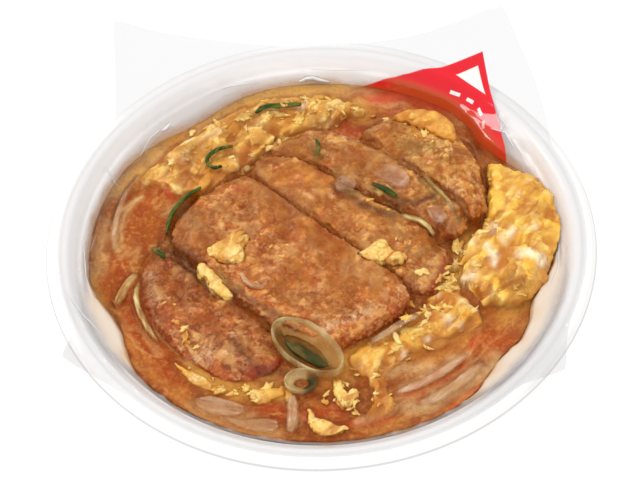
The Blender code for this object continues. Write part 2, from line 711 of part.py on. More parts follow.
# Shreds of onion: path of plan positions and heights, width, thickness and lean
ONION_SHREDS = {
    "onion_shred_left": ([(-62, 37, -4.9), (-67, 27, -4.9), (-69.5, 16, -4.8), (-70.5, 4, -4.7)],
                         2.6, 2.4, 20),
    "onion_shred_hook_a": ([(-69, -20, -4.2), (-66, -13, -4.0), (-62, -7, -3.8)], 4.2, 2.2, 10),
    "onion_shred_hook_b": ([(-61.5, -10, -3.6), (-62, -19, -3.6), (-59, -28, -3.8), (-55, -36, -4.0)],
                           2.8, 2.2, 30),
    "onion_stalk": ([(-11, -60, -3.6), (-11, -68, -3.7), (-12, -75, -3.6)], 4.6, 2.4, 0),
    "onion_shred_long": ([(30, -65, -3.6), (37, -62, -3.6), (44.5, -56, -3.6), (51, -49.5, -3.8)],
                         4.6, 2.4, 8),
    "onion_shred_band": ([(22, -61, -3.4), (31, -57, -3.2), (39, -52, -3.2), (46, -46, -3.5)], 3.6, 2.2, 12),
    "onion_shred_arc": ([(-27, -14, 3.4), (-25, -18, 3.4), (-21, -20.5, 3.6), (-18, -18, 3.9)], 2.6, 1.8, 20),
    "onion_strand_a": ([(35, 26, 4.6), (39, 20, 4.4), (43, 15, 4.2), (45, 10, 4.0)], 2.0, 1.8, 15),
    "onion_strand_b": ([(27, 9, 3.2), (31, 7, 3.4), (35, 5, 3.2), (38, 0, 2.8)], 2.8, 1.8, 15),
    "onion_foot": ([(15, -41.0, -1.5), (21, -37.5, -0.9), (27, -33.0, -0.7), (32, -30, -0.9)], 4.2, 2.0, 25),
}

# Flat slices of onion: outline and height
ONION_FLATS = {
    "onion_flat_a": ([(-43, -60), (-38, -59), (-31, -61), (-26, -64), (-28, -67), (-35, -67), (-41, -64)],
                     -3.0),
    "onion_flat_b": ([(-34, -67.5), (-27, -69), (-17, -69), (-15.5, -72), (-19, -74.5), (-27, -72.5)], -2.9),
    "onion_on_slice_4": ([(18, 28), (23, 31), (28, 30), (31, 25), (30, 20), (26, 21), (22, 24)], 4.4),
    "onion_on_slice_3": ([(5, 24), (8, 27), (12, 26), (13, 22), (10, 20), (6, 21)], 3.9),
    "onion_at_slice_end": ([(36, 10), (40, 12), (43, 8), (41, 4), (38, 5)], 4.4),
}

# Scallion: path, width, thickness and lean
SCALLIONS = {
    "scallion_back": ([(-21, 60.5, -0.9), (-18, 63.5, -0.8), (-12, 63.5, -0.7), (-5, 64, -0.8)],
                      2.6, 1.6, 10),
    "scallion_hook": ([(-33, 36.5, -0.6), (-36, 36, -0.7), (-38.5, 39.5, -0.8), (-35, 44, -0.6),
                       (-29, 45.5, -0.6)], 1.8, 1.6, 0),
    "scallion_curve": ([(-40, 26, 1.0), (-44, 23, 1.2), (-48, 19, 0.8), (-51, 14, -0.6), (-52, 8, -2.0)],
                       1.8, 1.6, 0),
    "scallion_leaf": ([(18, 23, 3.4), (22, 20.5, 3.8), (26, 16.5, 4.0)], 2.8, 1.4, 20),
    "scallion_bit": ([(-57, 1.5, -0.9), (-54, -0.5, -0.9), (-52.5, -3.0, -1.0)], 2.4, 1.4, 0),
    "scallion_on_slice_4": ([(-0.5, 44, 3.4), (0.5, 40.5, 3.4), (0, 36.5, 3.4)], 1.8, 1.4, 0),
}

LEEK_RING = {"centre": (-5, -43.5), "long": 14.5, "short": 6.6, "turn": -40.0, "wall": 2.4, "height": 3.8,
             "rise": 2.4}
LEEK_COLLAR = {"centre": (-8, -55.5), "long": 5.2, "short": 4.0, "turn": 10.0, "wall": 1.8,
               "height": 3.0, "rise": 0.6}


def ring_path(shape, height, tilt):
    """Points round an ellipse that leans by tilt towards its own far end."""
    turn = math.radians(shape["turn"])
    points = []
    for i in range(LEEK_POINTS):
        angle = 2.0 * math.pi * i / LEEK_POINTS
        u = shape["long"] * math.cos(angle)
        v = shape["short"] * math.sin(angle)
        x = shape["centre"][0] + u * math.cos(turn) - v * math.sin(turn)
        y = shape["centre"][1] + u * math.sin(turn) + v * math.cos(turn)
        points.append((x, y, height + tilt * u / shape["long"] + shape["rise"] * v / shape["short"]))
    return points


def make_leek():
    """The slanting cut of a thick leek: its pale ring, the dark leaf in it and the collar below."""
    ring = strip("leek_ring", ring_path(LEEK_RING, 1.6, -0.6), LEEK_RING["wall"], LEEK_RING["height"],
                 LEEK_PALE, 0.25, closed=True, spacing=5.0)
    collar = strip("leek_collar", ring_path(LEEK_COLLAR, -1.6, -0.4), LEEK_COLLAR["wall"],
                   LEEK_COLLAR["height"], LEEK_WHITE, 0.25, closed=True, spacing=3.2)
    inner = [(-13, -37), (-6, -37.5), (0, -43), (3, -49), (-2, -50.5), (-8, -46), (-12, -42)]
    outline = curve_through(inner, 4.0, True)
    leaf = sheet("leek_leaf", outline, lambda x, y: -1.0 + 0.3 * crumbs(x, y, 5.0, 90), LEAF_THICKNESS, 4.0,
                 LEEK_DARK, 0.25, 90)
    return [ring, collar, leaf]


def make_garnish():
    """Every piece of onion, leek and scallion."""
    pieces = make_leek()
    for name, (path, width, thickness, lean) in SCALLIONS.items():
        pieces.append(strip(name, path, width, thickness, SCALLION_GREEN, 0.3, lean, spacing=3.0))
    for name, (path, width, thickness, lean) in ONION_SHREDS.items():
        pieces.append(strip(name, path, width, thickness, ONION_CLEAR, 0.2, lean, spacing=3.8))
    for number, (name, (points, height)) in enumerate(ONION_FLATS.items()):
        outline = curve_through(points, 3.0, True)
        pieces.append(sheet(name, outline, lambda x, y, z=height: z + 0.35 * crumbs(x, y, 6.0, 70),
                            FLAT_THICKNESS, 3.4, ONION_FLAT, 0.2, number + 70))
    return pieces


# The whole dish

def clear_scene():
    """Removes what the scene holds before the model is made."""
    for obj in list(bpy.data.objects):
        bpy.data.objects.remove(obj)


def fit_together(groups):
    """Cuts each piece clear of all before it; a group is its pieces and their flatness."""
    placed = []
    for group, flatness in groups:
        for piece in group:
            raw = piece.copy()
            raw.data = piece.data.copy()
            cut_clear(piece, placed, flatness)
            placed.append(raw)
    for raw in placed:
        bpy.data.objects.remove(raw)


def main():
    clear_scene()
    make_bowl()
    film = make_film()
    garnish = make_garnish()
    bits = [make_egg_bit(name, shape, i) for i, (name, shape) in enumerate(EGG_BITS.items())]
    slices = [make_slice(name, shape, i + 1) for i, (name, shape) in enumerate(SLICES.items())]
    eggs = [make_egg(name, shape, i) for i, (name, shape) in enumerate(EGGS.items())]
    for egg in eggs:
        cut_clear(egg, [film], FLATNESS)
    fit_together([(garnish + bits + slices + eggs, FLATNESS), ([make_sauce()], SAUCE_FLATNESS)])


main()
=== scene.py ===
"""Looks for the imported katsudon: fine meshes in the form of its solids, with their materials.

Lengths are in millimetres unless a name says otherwise, and heights are measured from the bowl's lip.
Colours are written as a screen shows them, from 0 to 255.
A stroke is a path in plan, its width and its strength.
"""
import math
import random

import bmesh
import bpy
import numpy as np
from mathutils import Matrix, Vector
from mathutils.bvhtree import BVHTree


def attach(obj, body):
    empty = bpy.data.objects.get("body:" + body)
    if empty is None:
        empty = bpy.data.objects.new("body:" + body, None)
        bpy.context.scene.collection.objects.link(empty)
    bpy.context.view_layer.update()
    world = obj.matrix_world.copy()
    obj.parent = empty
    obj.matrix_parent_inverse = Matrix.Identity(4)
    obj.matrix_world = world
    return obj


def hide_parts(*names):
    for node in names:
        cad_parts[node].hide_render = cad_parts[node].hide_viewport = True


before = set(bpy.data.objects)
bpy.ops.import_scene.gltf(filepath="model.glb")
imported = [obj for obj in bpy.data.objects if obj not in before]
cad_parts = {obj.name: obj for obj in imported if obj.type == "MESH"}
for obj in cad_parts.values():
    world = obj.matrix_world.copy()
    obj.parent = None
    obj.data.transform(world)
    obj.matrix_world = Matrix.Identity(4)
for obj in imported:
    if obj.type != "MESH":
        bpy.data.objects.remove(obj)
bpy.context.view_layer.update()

MM = 0.001
LIP = 46.2
LIP_POINT = np.array([0.0, 0.0, LIP])
FAR_BELOW = -30.0

# Grid of the fine meshes
CRUST_GRID = 0.45
EGG_GRID = 0.5
BIT_GRID = 0.38
SMALL_GRID = 0.34
# Sizes of the crumbs on the crust and of the flakes in the egg, the large and the fine
CRUMB_SIZES = (2.6, 1.3)
FLAKE_SIZES = (8.5, 3.4)

# Sauce: its level is the same as the solid's
SAUCE_RADIUS = 79.0
SAUCE_DEPTH = 4.8
SAUCE_FALL = 1.2
SAUCE_GRID = 281
SAUCE_RINGS = (-7.5, -14.0, -22.0, -32.0, -38.5)
BED_DEPTH = 0.5
BED_INSET = 0.2
BED_RINGS = (-7.5, -9.0)
SAUCE_GAP = 0.05
# Directions from the middle in which the film's radius is measured
AROUND = np.linspace(-math.pi, math.pi, 721)

# Sauce's skin over each kind of food: how far it rises at most, and how high its wider banks stand
SKIN_RISE = {"cutlet": 0.0, "egg": -0.3, "torn": -0.9, "onion": 0.12, "green": -0.6, "flakes": -0.1}
BANK_RISE = {"cutlet": -0.9, "egg": -0.35, "torn": -2.0, "onion": -0.6, "green": -1.6, "flakes": -1.0}
SKIN_BLUR = 0.6
BANK_BLUR = 3.2
SKIN_FILLET = 0.6
SKIN_CLEARNESS = 1.3
EDGE_CLEARNESS = 0.5

# Camera: as the photograph was taken
TILT = 50.83
ROLL = -2.035
CAMERA_DISTANCE = 1000.0
CAMERA_TARGET = (-0.28, 1.75, LIP)
FOCAL_PIXELS = 2975.8
IMAGE_WIDTH = 640
SENSOR = 36.0

# Room: each light's name, place in metres, power and size, and where in metres they all point
LIGHTS = [
    ("key", (-0.75, 0.35, 0.9), 4.8, 0.4),
    ("fill", (0.4, -0.8, 1.1), 4.6, 0.8),
    ("glints", (0.1, 0.8, 0.8), 0.3, 0.06),
]
LIGHT_TARGET = (0.0, 0.0, 0.04)
EVEN_LIGHT = 0.82
FLOOR_REACH = 3000
FLOOR_TONE = (0.12, 0.12, 0.12, 1.0)
FLOOR_GLOW = 0.9
WHITE = (1.0, 1.0, 1.0, 1.0)

SLICES = [f"cutlet_slice_{n}" for n in range(1, 6)]
# Each mass of egg: its look, how far sauce hides it in patches, and how high above the sauce it clears
EGGS = {
    "egg_right": ("egg", 0.5, 2.0),
    "egg_lower": ("egg_low", 1.0, 1.6),
    "egg_left": ("egg_pale", 0.2, 0.3),
    "egg_back": ("egg_pale", 0.3, 0.8),
}
EGG_BITS = ["egg_bit_left", "egg_bit_gap", "egg_bit_middle", "egg_bit_fork", "egg_bit_star"]
SCALLIONS = [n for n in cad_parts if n.startswith("scallion")]
ONIONS = [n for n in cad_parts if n.startswith("onion")]
# The onions that don't have the usual look
ONION_LOOKS = {
    "onion_shred_hook_a": "onion_yellow", "onion_shred_hook_b": "onion_yellow",
    "onion_strand_a": "onion_yellow", "onion_strand_b": "onion_yellow",
    "onion_on_slice_3": "onion_pink", "onion_on_slice_4": "onion_pink", "onion_at_slice_end": "onion_pink",
}
# How much the most see-through onions hide of what lies below
ONION_COVER = {
    "onion_on_slice_3": 0.5, "onion_on_slice_4": 0.55, "onion_at_slice_end": 0.55, "onion_shred_arc": 0.6,
    "onion_shred_left": 0.45, "onion_shred_long": 0.75, "onion_shred_band": 0.75, "onion_strand_a": 0.6,
    "onion_flat_a": 0.6, "onion_flat_b": 0.55, "onion_foot": 0.65,
}


# Noise, as functions of many points at once

def hashed(cells, seed):
    """A number from 0 to 1 for each whole-numbered cell."""
    key = cells[..., 0] * 374761393 + cells[..., 1] * 668265263 + cells[..., 2] * 974634777 + seed * 144269
    key = (key ^ (key >> 13)) * 1274126177 & 0xFFFFFFFF
    key = (key ^ (key >> 16)) * 2246822519 & 0xFFFFFFFF
    return (key ^ (key >> 15)) / 0xFFFFFFFF


def noise(points, size, seed):
    """Smooth noise from -1 to 1 whose bumps are of about the given size."""
    place = points / size
    cell = np.floor(place).astype(np.int64)
    t = place - cell
    t = t * t * (3.0 - 2.0 * t)
    total = np.zeros(len(points))
    for corner in range(8):
        step = np.array([corner & 1, corner >> 1 & 1, corner >> 2 & 1])
        weight = np.prod(np.where(step, t, 1.0 - t), axis=1)
        total += weight * hashed(cell + step, seed)
    return total * 2.0 - 1.0


def fractal(points, size, seed, octaves=3):
    """Noise with finer noise on it."""
    return sum(noise(points, size / 2 ** k, seed + k) / 2 ** k for k in range(octaves)) / 1.6


def wandered(points, amount, size, seeds):
    """The points moved by noise, along as many axes as there are seeds."""
    moved = points.copy()
    for axis, seed in enumerate(seeds):
        moved[:, axis] += amount * noise(points, size, seed)
    return moved


def nearest_cells(points, size, seed):
    """Each point's offset in sizes from the nearest of many scattered centres, and that centre's number."""
    place = points / size
    cell = np.floor(place).astype(np.int64)
    nearest = np.full(len(points), 9.0)
    offsets = np.zeros((len(points), 3))
    numbers = np.zeros(len(points))
    for k in range(27):
        other = cell + np.array([k % 3 - 1, k // 3 % 3 - 1, k // 9 - 1])
        offset = place - other - np.stack([hashed(other, seed + axis) for axis in (1, 2, 3)], axis=1)
        distance = np.linalg.norm(offset, axis=1)
        closer = distance < nearest
        nearest[closer] = distance[closer]
        offsets[closer] = offset[closer]
        numbers[closer] = hashed(other, seed + 4)[closer]
    return offsets, numbers


def crumbs(points, size, seed):
    """Rounded crumbs: a height from 0 to 1, and each crumb's number."""
    offsets, numbers = nearest_cells(points, size, seed)
    return np.clip(1.0 - np.sum(offsets ** 2, axis=1) / 0.6, 0.0, 1.0) * numbers, numbers


def flakes(points, size, seed):
    """Torn flakes that overlap: a height from 0 to 1 that slopes over each flake, and the flake's number."""
    torn = wandered(points, 0.45 * size, 0.6 * size, range(seed + 1, seed + 4))
    offsets, numbers = nearest_cells(torn, size, seed + 5)
    slope = np.stack([np.cos(numbers * 40.0), np.sin(numbers * 40.0)], axis=1)
    height = 0.5 + 0.6 * (numbers - 0.5) + 0.6 * np.sum(offsets[:, :2] * slope, axis=1)
    return np.clip(height, 0.0, 1.0), numbers


def smooth_step(values, low, high):
    """0 below low, 1 above high, and smooth between them."""
    t = np.clip((values - low) / (high - low), 0.0, 1.0)
    return t * t * (3.0 - 2.0 * t)


def beside_path(points, path, width):
    """1 on a path given in plan, falling smoothly to 0 about a width away from it."""
    line = np.array(path, dtype=float)
    if len(line) == 1:
        line = np.vstack([line, line + [0.01, 0.0]])
    nearest = np.full(len(points), 1e9)
    for start, end in zip(line[:-1], line[1:]):
        ahead = end - start
        t = np.clip((points[:, :2] - start) @ ahead / (ahead @ ahead), 0.0, 1.0)
        nearest = np.minimum(nearest, np.linalg.norm(points[:, :2] - start - t[:, None] * ahead, axis=1))
    return np.exp(-(nearest / width) ** 2)


def painted(points, strokes):
    """The strongest of some strokes at each point."""
    return np.max([beside_path(points, path, width) * strength for path, width, strength in strokes], axis=0)


def frayed(points, strokes, amount, size, seed):
    """Strokes whose borders are made uneven by noise."""
    return painted(points + amount * noise(points, size, seed)[:, None], strokes)


def along(path, step):
    """Even points along a path in plan."""
    line = np.array(path, dtype=float)
    lengths = np.concatenate([[0.0], np.cumsum(np.linalg.norm(np.diff(line, axis=0), axis=1))])
    distances = np.linspace(0.0, lengths[-1], max(3, int(lengths[-1] / step) + 1))
    return np.stack([np.interp(distances, lengths, line[:, axis]) for axis in (0, 1)], axis=1)


# Meshes

def vectors(items, field):
    """The vectors of a mesh's points or normals, as an array."""
    flat = np.empty(len(items) * 3, dtype=np.float32)
    items.foreach_get(field, flat)
    return flat.reshape(-1, 3).astype(float)


def places(obj):
    """The mesh's points in mm, with heights from the lip."""
    return vectors(obj.data.vertices, "co") / MM - LIP_POINT


def place(obj, points):
    """Puts the mesh's points where an array says."""
    obj.data.vertices.foreach_set("co", ((points + LIP_POINT) * MM).astype(np.float32).ravel())
    obj.data.update()


def store(obj, **fields):
    """Keeps numbers from 0 to 1 on the mesh's points, for its material to read."""
    for name, values in fields.items():
        layer = obj.data.attributes.new(name, "FLOAT", "POINT")
        layer.data.foreach_set("value", np.clip(values, 0.0, 1.0).astype(np.float32))


def new_object(name, data):
    """An object in the scene."""
    obj = bpy.data.objects.new(name, data)
    bpy.context.scene.collection.objects.link(obj)
    return obj


def new_mesh(name, points, faces):
    """An object from points in mm, with heights from the lip."""
    mesh = bpy.data.meshes.new(name)
    mesh.from_pydata([tuple(p) for p in (np.array(points) + LIP_POINT) * MM], [], faces)
    mesh.shade_smooth()
    return new_object(name, mesh)


def finer(node, modifiers):
    """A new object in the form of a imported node, made finer by modifiers given by kind and settings."""
    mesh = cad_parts[node].data.copy()
    edit = bmesh.new()
    edit.from_mesh(mesh)
    bmesh.ops.remove_doubles(edit, verts=edit.verts, dist=2e-6)
    edit.to_mesh(mesh)
    edit.free()
    obj = new_object(node + "_fine", mesh)
    for kind, settings in modifiers:
        modifier = obj.modifiers.new(kind.lower(), kind)
        for name, value in settings.items():
            setattr(modifier, name, value)
    bpy.context.view_layer.update()
    result = bpy.data.meshes.new_from_object(obj.evaluated_get(bpy.context.evaluated_depsgraph_get()))
    obj.modifiers.clear()
    obj.data = result
    result.materials.clear()
    result.shade_smooth()
    return obj


def remeshed(node, grid, soften):
    """A node's form on an even grid, its facets smoothed away, with its points and their normals."""
    piece = finer(node, [
        ("REMESH", {"mode": "VOXEL", "voxel_size": grid * MM}),
        ("SMOOTH", {"iterations": soften, "factor": 0.5}),
    ])
    return piece, places(piece), vectors(piece.data.vertex_normals, "vector")


def ring_faces(rings, size):
    """Faces between rings of equal size that follow each other in one list of points."""
    return [
        (r * size + i, r * size + (i + 1) % size, (r + 1) * size + (i + 1) % size, (r + 1) * size + i)
        for r in range(rings - 1) for i in range(size)
    ]


def finish_piece(obj, material, slot, *nodes):
    """Gives a piece its material and its body, and hides the nodes that it stands for."""
    obj.data.materials.append(material)
    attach(obj, "root")
    if nodes:
        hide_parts(*nodes)
    return obj


def tree_of(objects):
    """One search tree over the meshes of several objects, in metres."""
    edit = bmesh.new()
    for obj in objects:
        edit.from_mesh(obj.data)
    tree = BVHTree.FromBMesh(edit)
    edit.free()
    return tree


def tree_of_food(food):
    """One search tree over every piece of food."""
    return tree_of([piece for pieces in food.values() for piece in pieces])


def distances(tree, points):
    """How far each point is from the nearest surface."""
    return np.array([tree.find_nearest(Vector(p))[3] for p in (points + LIP_POINT) * MM]) / MM


def heights_under(tree, plan):
    """Height of the first surface met by a ray falling at each place, or far below where there is none."""
    down = Vector((0.0, 0.0, -1.0))
    heights = np.full(len(plan), FAR_BELOW)
    for i, (x, y) in enumerate(plan * MM):
        hit = tree.ray_cast(Vector((x, y, 0.1)), down)[0]
        if hit is not None:
            heights[i] = hit.z / MM - LIP
    return heights


# Material nodes

def shown(red, green, blue):
    """A colour as a screen shows it, turned into the linear one that shaders take."""
    parts = [value / 255.0 for value in (red, green, blue)]
    return (*[p / 12.92 if p <= 0.04045 else ((p + 0.055) / 1.055) ** 2.4 for p in parts], 1.0)


def add(tree, kind, inputs, **settings):
    """A node with its settings and inputs; an input is a value or another node's output."""
    node = tree.nodes.new("ShaderNode" + kind)
    for name, value in settings.items():
        setattr(node, name, value)
    for name, value in inputs.items():
        if isinstance(value, bpy.types.NodeSocket):
            tree.links.new(value, node.inputs[name])
        else:
            node.inputs[name].default_value = value
    return node


def new_material(name, **values):
    """A material and its node tree, with plain values set by name on its shader."""
    material = bpy.data.materials.new(name)
    material.use_nodes = True
    tree = material.node_tree
    for key, value in values.items():
        tree.nodes["Principled BSDF"].inputs[key.replace("_", " ")].default_value = value
    return material, tree


def finish_material(material, color, height=None, depth=0.0, strength=1.0, cover=None):
    """Gives a material its colour, fine relief of a depth in mm, and how much it hides."""
    tree = material.node_tree
    inputs = tree.nodes["Principled BSDF"].inputs
    tree.links.new(color, inputs["Base Color"])
    if height is not None:
        bump = add(tree, "Bump", {"Height": height, "Distance": depth * MM, "Strength": strength})
        tree.links.new(bump.outputs["Normal"], inputs["Normal"])
    if cover is not None:
        tree.links.new(cover, inputs["Alpha"])
    return material


def position(tree):
    """The object's own coordinates in mm."""
    coordinates = add(tree, "TexCoord", {}).outputs["Object"]
    return add(tree, "Mapping", {"Vector": coordinates, "Scale": (1.0 / MM,) * 3}).outputs["Vector"]


def vector_math(tree, operation, first, second):
    """A node that works out a vector or a value from two vectors."""
    return add(tree, "VectorMath", {0: first, 1: second}, operation=operation)


def value_math(tree, operation, first, second):
    """A value worked out from two values."""
    return add(tree, "Math", {0: first, 1: second}, operation=operation).outputs[0]


def times(tree, first, second):
    """Product of two values."""
    return value_math(tree, "MULTIPLY", first, second)


def ranged(tree, value, low, high, to_low=0.0, to_high=1.0):
    """A value carried from one range to another, and held within it."""
    inputs = {"Value": value, "From Min": low, "From Max": high, "To Min": to_low, "To Max": to_high}
    return add(tree, "MapRange", inputs).outputs["Result"]


def noise_node(tree, size, detail=3.0, offset=0.0, roughness=0.5):
    """Noise from 0 to 1 whose bumps are of about the given size."""
    vector = vector_math(tree, "ADD", position(tree), (offset, offset, offset)).outputs[0]
    inputs = {"Vector": vector, "Scale": 1.0 / size, "Detail": detail, "Roughness": roughness}
    return add(tree, "TexNoise", inputs).outputs["Fac"]


def stored(tree, name):
    """A field kept on the mesh by store."""
    return add(tree, "Attribute", {}, attribute_name=name).outputs["Fac"]


def mixed(tree, factor, first, second):
    """Colour between two colours; any of the three may be a node's output."""
    return add(tree, "Mix", {0: factor, 6: first, 7: second}, data_type="RGBA").outputs[2]


def layered(tree, base, layers):
    """A base colour with other colours laid over it in turn.

    Each layer is its source, its strength at most and its colour. The source is the name of a stored field or
    a node's output, and the layer starts where that is 0 and is full where it is 1, unless two more numbers
    say other values.
    """
    color = shown(*base)
    for source, strength, tint, *limits in layers:
        if isinstance(source, str):
            source = stored(tree, source)
        start, full = limits or (0.0, 1.0)
        color = mixed(tree, ranged(tree, source, start, full, 0.0, strength), color, shown(*tint))
    return color


def uneven_cells(tree, size, **settings):
    """Cells of about the given size with wandering borders."""
    inputs = {"Vector": position(tree), "Scale": 1.4 / size, "Detail": 2.0}
    shift = add(tree, "TexNoise", inputs).outputs["Color"]
    shift = vector_math(tree, "MULTIPLY", shift, (size, size, size)).outputs[0]
    vector = vector_math(tree, "ADD", position(tree), shift).outputs[0]
    return add(tree, "TexVoronoi", {"Vector": vector, "Scale": 1.0 / size}, **settings)


def cell_layers(tree, size, pale, dark, strength):
    """Layers that make some cells paler and some darker."""
    number = add(tree, "SeparateColor", {"Color": uneven_cells(tree, size).outputs["Color"]}).outputs[0]
    return [(number, strength, pale, 0.62, 0.95), (number, strength, dark, 0.38, 0.05)]


# Bowl

BOWL_PROFILE = [
    (0.0, -44.6), (52.0, -44.6), (58.5, -39.5), (79.0, -5.8), (80.6, -2.6), (81.8, -2.0), (85.2, 1.8),
    (87.6, 2.1), (89.3, 1.4), (92.0, 0.6), (92.5, -0.4), (91.2, -1.3), (86.4, -0.8), (82.6, -4.4),
    (60.6, -40.6), (57.2, -44.2), (55.0, -46.2), (0.0, -46.2),
]
BOWL_ROUNDING = 1.2
BOWL_SEGMENTS = 240
# Tones of the ring by radius, from the wall to the outer lip: white foam, with painted shade as grey lines at
# its ledge and grooves, darkest at the lip's edge
RING_PAINTED_SHADES = [
    (78.0, 251), (81.4, 251), (82.2, 242), (83.4, 250), (86.4, 249), (87.4, 236), (88.4, 248), (90.2, 248),
    (91.2, 236), (91.8, 244), (92.2, 208), (92.6, 182),
]


def rounded(profile, radius):
    """The profile with each corner turned into a short curve."""
    line = [np.array(p) for p in profile]
    points = [line[0]]
    for before, corner, after in zip(line[:-2], line[1:-1], line[2:]):
        reach = [min(radius, 0.35 * np.linalg.norm(end - corner)) for end in (before, after)]
        start = corner + (before - corner) / np.linalg.norm(before - corner) * reach[0]
        end = corner + (after - corner) / np.linalg.norm(after - corner) * reach[1]
        for t in (0.0, 0.33, 0.67, 1.0):
            points.append((1 - t) ** 2 * start + 2 * t * (1 - t) * corner + t ** 2 * end)
    points.append(line[-1])
    return points


def foam_material():
    """White foamed plastic: nearly smooth, with faint beads and a satin sheen, and painted shade in grey
    rings by radius.
    """
    material, tree = new_material("bowl_foam", Roughness=0.32, IOR=1.45)
    plan = vector_math(tree, "MULTIPLY", position(tree), (1.0, 1.0, 0.0)).outputs[0]
    radius = add(tree, "VectorMath", {0: plan}, operation="LENGTH").outputs["Value"]
    first, last = RING_PAINTED_SHADES[0][0], RING_PAINTED_SHADES[-1][0]
    ramp = add(tree, "ValToRGB", {"Fac": ranged(tree, radius, first, last)})
    stops = ramp.color_ramp.elements
    # The ring's stops: the greyer ones are painted shade at the ledge, grooves and lip edge
    for at, shade in RING_PAINTED_SHADES:
        stop = stops.new((at - first) / (last - first)) if at > first else stops[0]
        stop.color = shown(shade, shade - 2, shade - 4)
    beads = add(tree, "TexVoronoi", {"Vector": position(tree), "Scale": 1.0 / 2.2}).outputs["Distance"]
    return finish_material(material, ramp.outputs["Color"], beads, 0.03, 0.5)


def make_bowl():
    """The bowl turned finely, its corners rounded."""
    profile = rounded(BOWL_PROFILE, BOWL_ROUNDING)[1:-1]
    points = []
    for radius, z in profile:
        for i in range(BOWL_SEGMENTS):
            angle = 2.0 * math.pi * i / BOWL_SEGMENTS
            points.append((radius * math.cos(angle), radius * math.sin(angle), z))
    faces = ring_faces(len(profile), BOWL_SEGMENTS)
    faces.append(tuple(reversed(range(BOWL_SEGMENTS))))
    faces.append(tuple(range(len(points) - BOWL_SEGMENTS, len(points))))
    bowl = new_mesh("bowl_fine", points, faces)
    edit = bmesh.new()
    edit.from_mesh(bowl.data)
    bmesh.ops.recalc_face_normals(edit, faces=edit.faces)
    edit.to_mesh(bowl.data)
    edit.free()
    bowl.data.set_sharp_from_angle(angle=math.radians(40.0))
    return finish_piece(bowl, foam_material(), "bowl_foam", "bowl")


# Film

# Outline in plan of the red print at the back right corner, and of the white shapes on it
PRINT_AREA = [(8.0, 76.0), (58.9, 75.4), (61.6, 67.9), (63.6, 56.0), (64.6, 42.0), (66.0, 34.0), (44.0, 40.0),
              (8.0, 62.0)]
PRINT_MARK = [(47.0, 72.9), (57.8, 73.1), (60.8, 59.3)]
PRINT_BARS = [((47.0, 67.0), (50.5, 64.8)), ((52.6, 63.0), (54.8, 60.8)), ((56.4, 58.6), (57.4, 55.8)),
              ((57.8, 53.6), (57.6, 50.4)), ((58.0, 48.0), (57.8, 45.6))]
BAR_HALF_WIDTH = 0.55
# Strokes where the front corners are folded, where the print lies over sauce, and where the wall is warm
FOLDED_CORNERS = [([(-92, -30), (-84, -55)], 16.0, 1.0), ([(62, -70), (84, -50)], 16.0, 1.0)]
SAUCED_PRINT = [([(30, 74), (44, 66), (54, 54), (60, 42)], 5.0, 1.0)]
WARM_WALL = [([(80, -30), (84, -8), (82, 16), (77, 36)], 8.0, 0.4)]
# Sharp creases of the film, each a path in plan and its width: low ridges coloured white as painted
# highlights where the film catches the light
CREASE_HIGHLIGHTS = [
    ([(-6, 78), (-1, 79), (5, 78)], 2.2), ([(-54, 55), (-51, 58)], 2.0),
    ([(-62, 46), (-58, 52), (-52, 58)], 0.5), ([(-71, 35), (-67, 34)], 0.7), ([(-73, 38), (-69, 33)], 0.4),
    ([(60, 50), (65, 47), (68, 40)], 0.8), ([(63, 54), (66, 48)], 0.6),
    ([(70, 34), (74, 26), (76, 16)], 0.4), ([(-80, 6), (-79, -8), (-76, -20)], 0.5),
    ([(-76, 14), (-78, 4)], 0.6), ([(-84, -20), (-79, -28), (-72, -36)], 0.5),
    ([(80, 0), (79, -12), (75, -22)], 0.6), ([(-40, 69), (-30, 74), (-18, 77)], 0.5),
    ([(20, 79), (10, 80), (-2, 81)], 0.4),
]


def inside_sides(tree, plan, outline):
    """The least distance inwards from the straight sides of a convex outline that runs clockwise."""
    least = None
    for (x1, y1), (x2, y2) in zip(outline, outline[1:] + outline[:1]):
        length = math.hypot(x2 - x1, y2 - y1)
        inward = ((y2 - y1) / length, (x1 - x2) / length, 0.0)
        away = vector_math(tree, "DOT_PRODUCT", plan, inward).outputs["Value"]
        distance = value_math(tree, "SUBTRACT", away, x1 * inward[0] + y1 * inward[1])
        least = distance if least is None else value_math(tree, "MINIMUM", least, distance)
    return least


def print_masks(tree):
    """Where the film is printed red, and where white shapes are left in it."""
    plan = position(tree)
    red = ranged(tree, inside_sides(tree, plan, PRINT_AREA), -0.1, 0.1)
    white = ranged(tree, inside_sides(tree, plan, PRINT_MARK), 0.9, 1.1)
    for (x1, y1), (x2, y2) in PRINT_BARS:
        scale = BAR_HALF_WIDTH / math.hypot(x2 - x1, y2 - y1)
        across, up = (y2 - y1) * scale, (x1 - x2) * scale
        corners = [(x1 - across, y1 - up), (x2 - across, y2 - up),
                   (x2 + across, y2 + up), (x1 + across, y1 + up)]
        bar = ranged(tree, inside_sides(tree, plan, corners), 0.0, 0.15)
        white = value_math(tree, "MAXIMUM", white, bar)
    return red, white


def film_material():
    """Clear film that shows by its gloss and a faint grey, milky where it folds, with the printed corner."""
    material, tree = new_material("clear_film", Roughness=0.07, IOR=1.5)
    red, white = print_masks(tree)
    clear = layered(tree, (186, 186, 190), [
        ("milky", 1.0, (232, 214, 194)),
        ("inside", 1.0, (240, 236, 236)),
        ("stain", 1.0, (222, 172, 118)),
    ])
    printed = layered(tree, (232, 12, 36), [(white, 1.0, (250, 244, 240)), ("stain", 1.0, (200, 76, 34))])
    cover = ranged(tree, stored(tree, "milky"), 0.0, 1.0, 0.11, 0.92)
    for mask, strength in ((stored(tree, "stain"), 0.6), (red, 0.96)):
        cover = value_math(tree, "MAXIMUM", cover, times(tree, mask, strength))
    color = mixed(tree, red, clear, printed)
    return finish_material(material, color, noise_node(tree, 9.0, 1.0), 0.3, 0.5, cover)


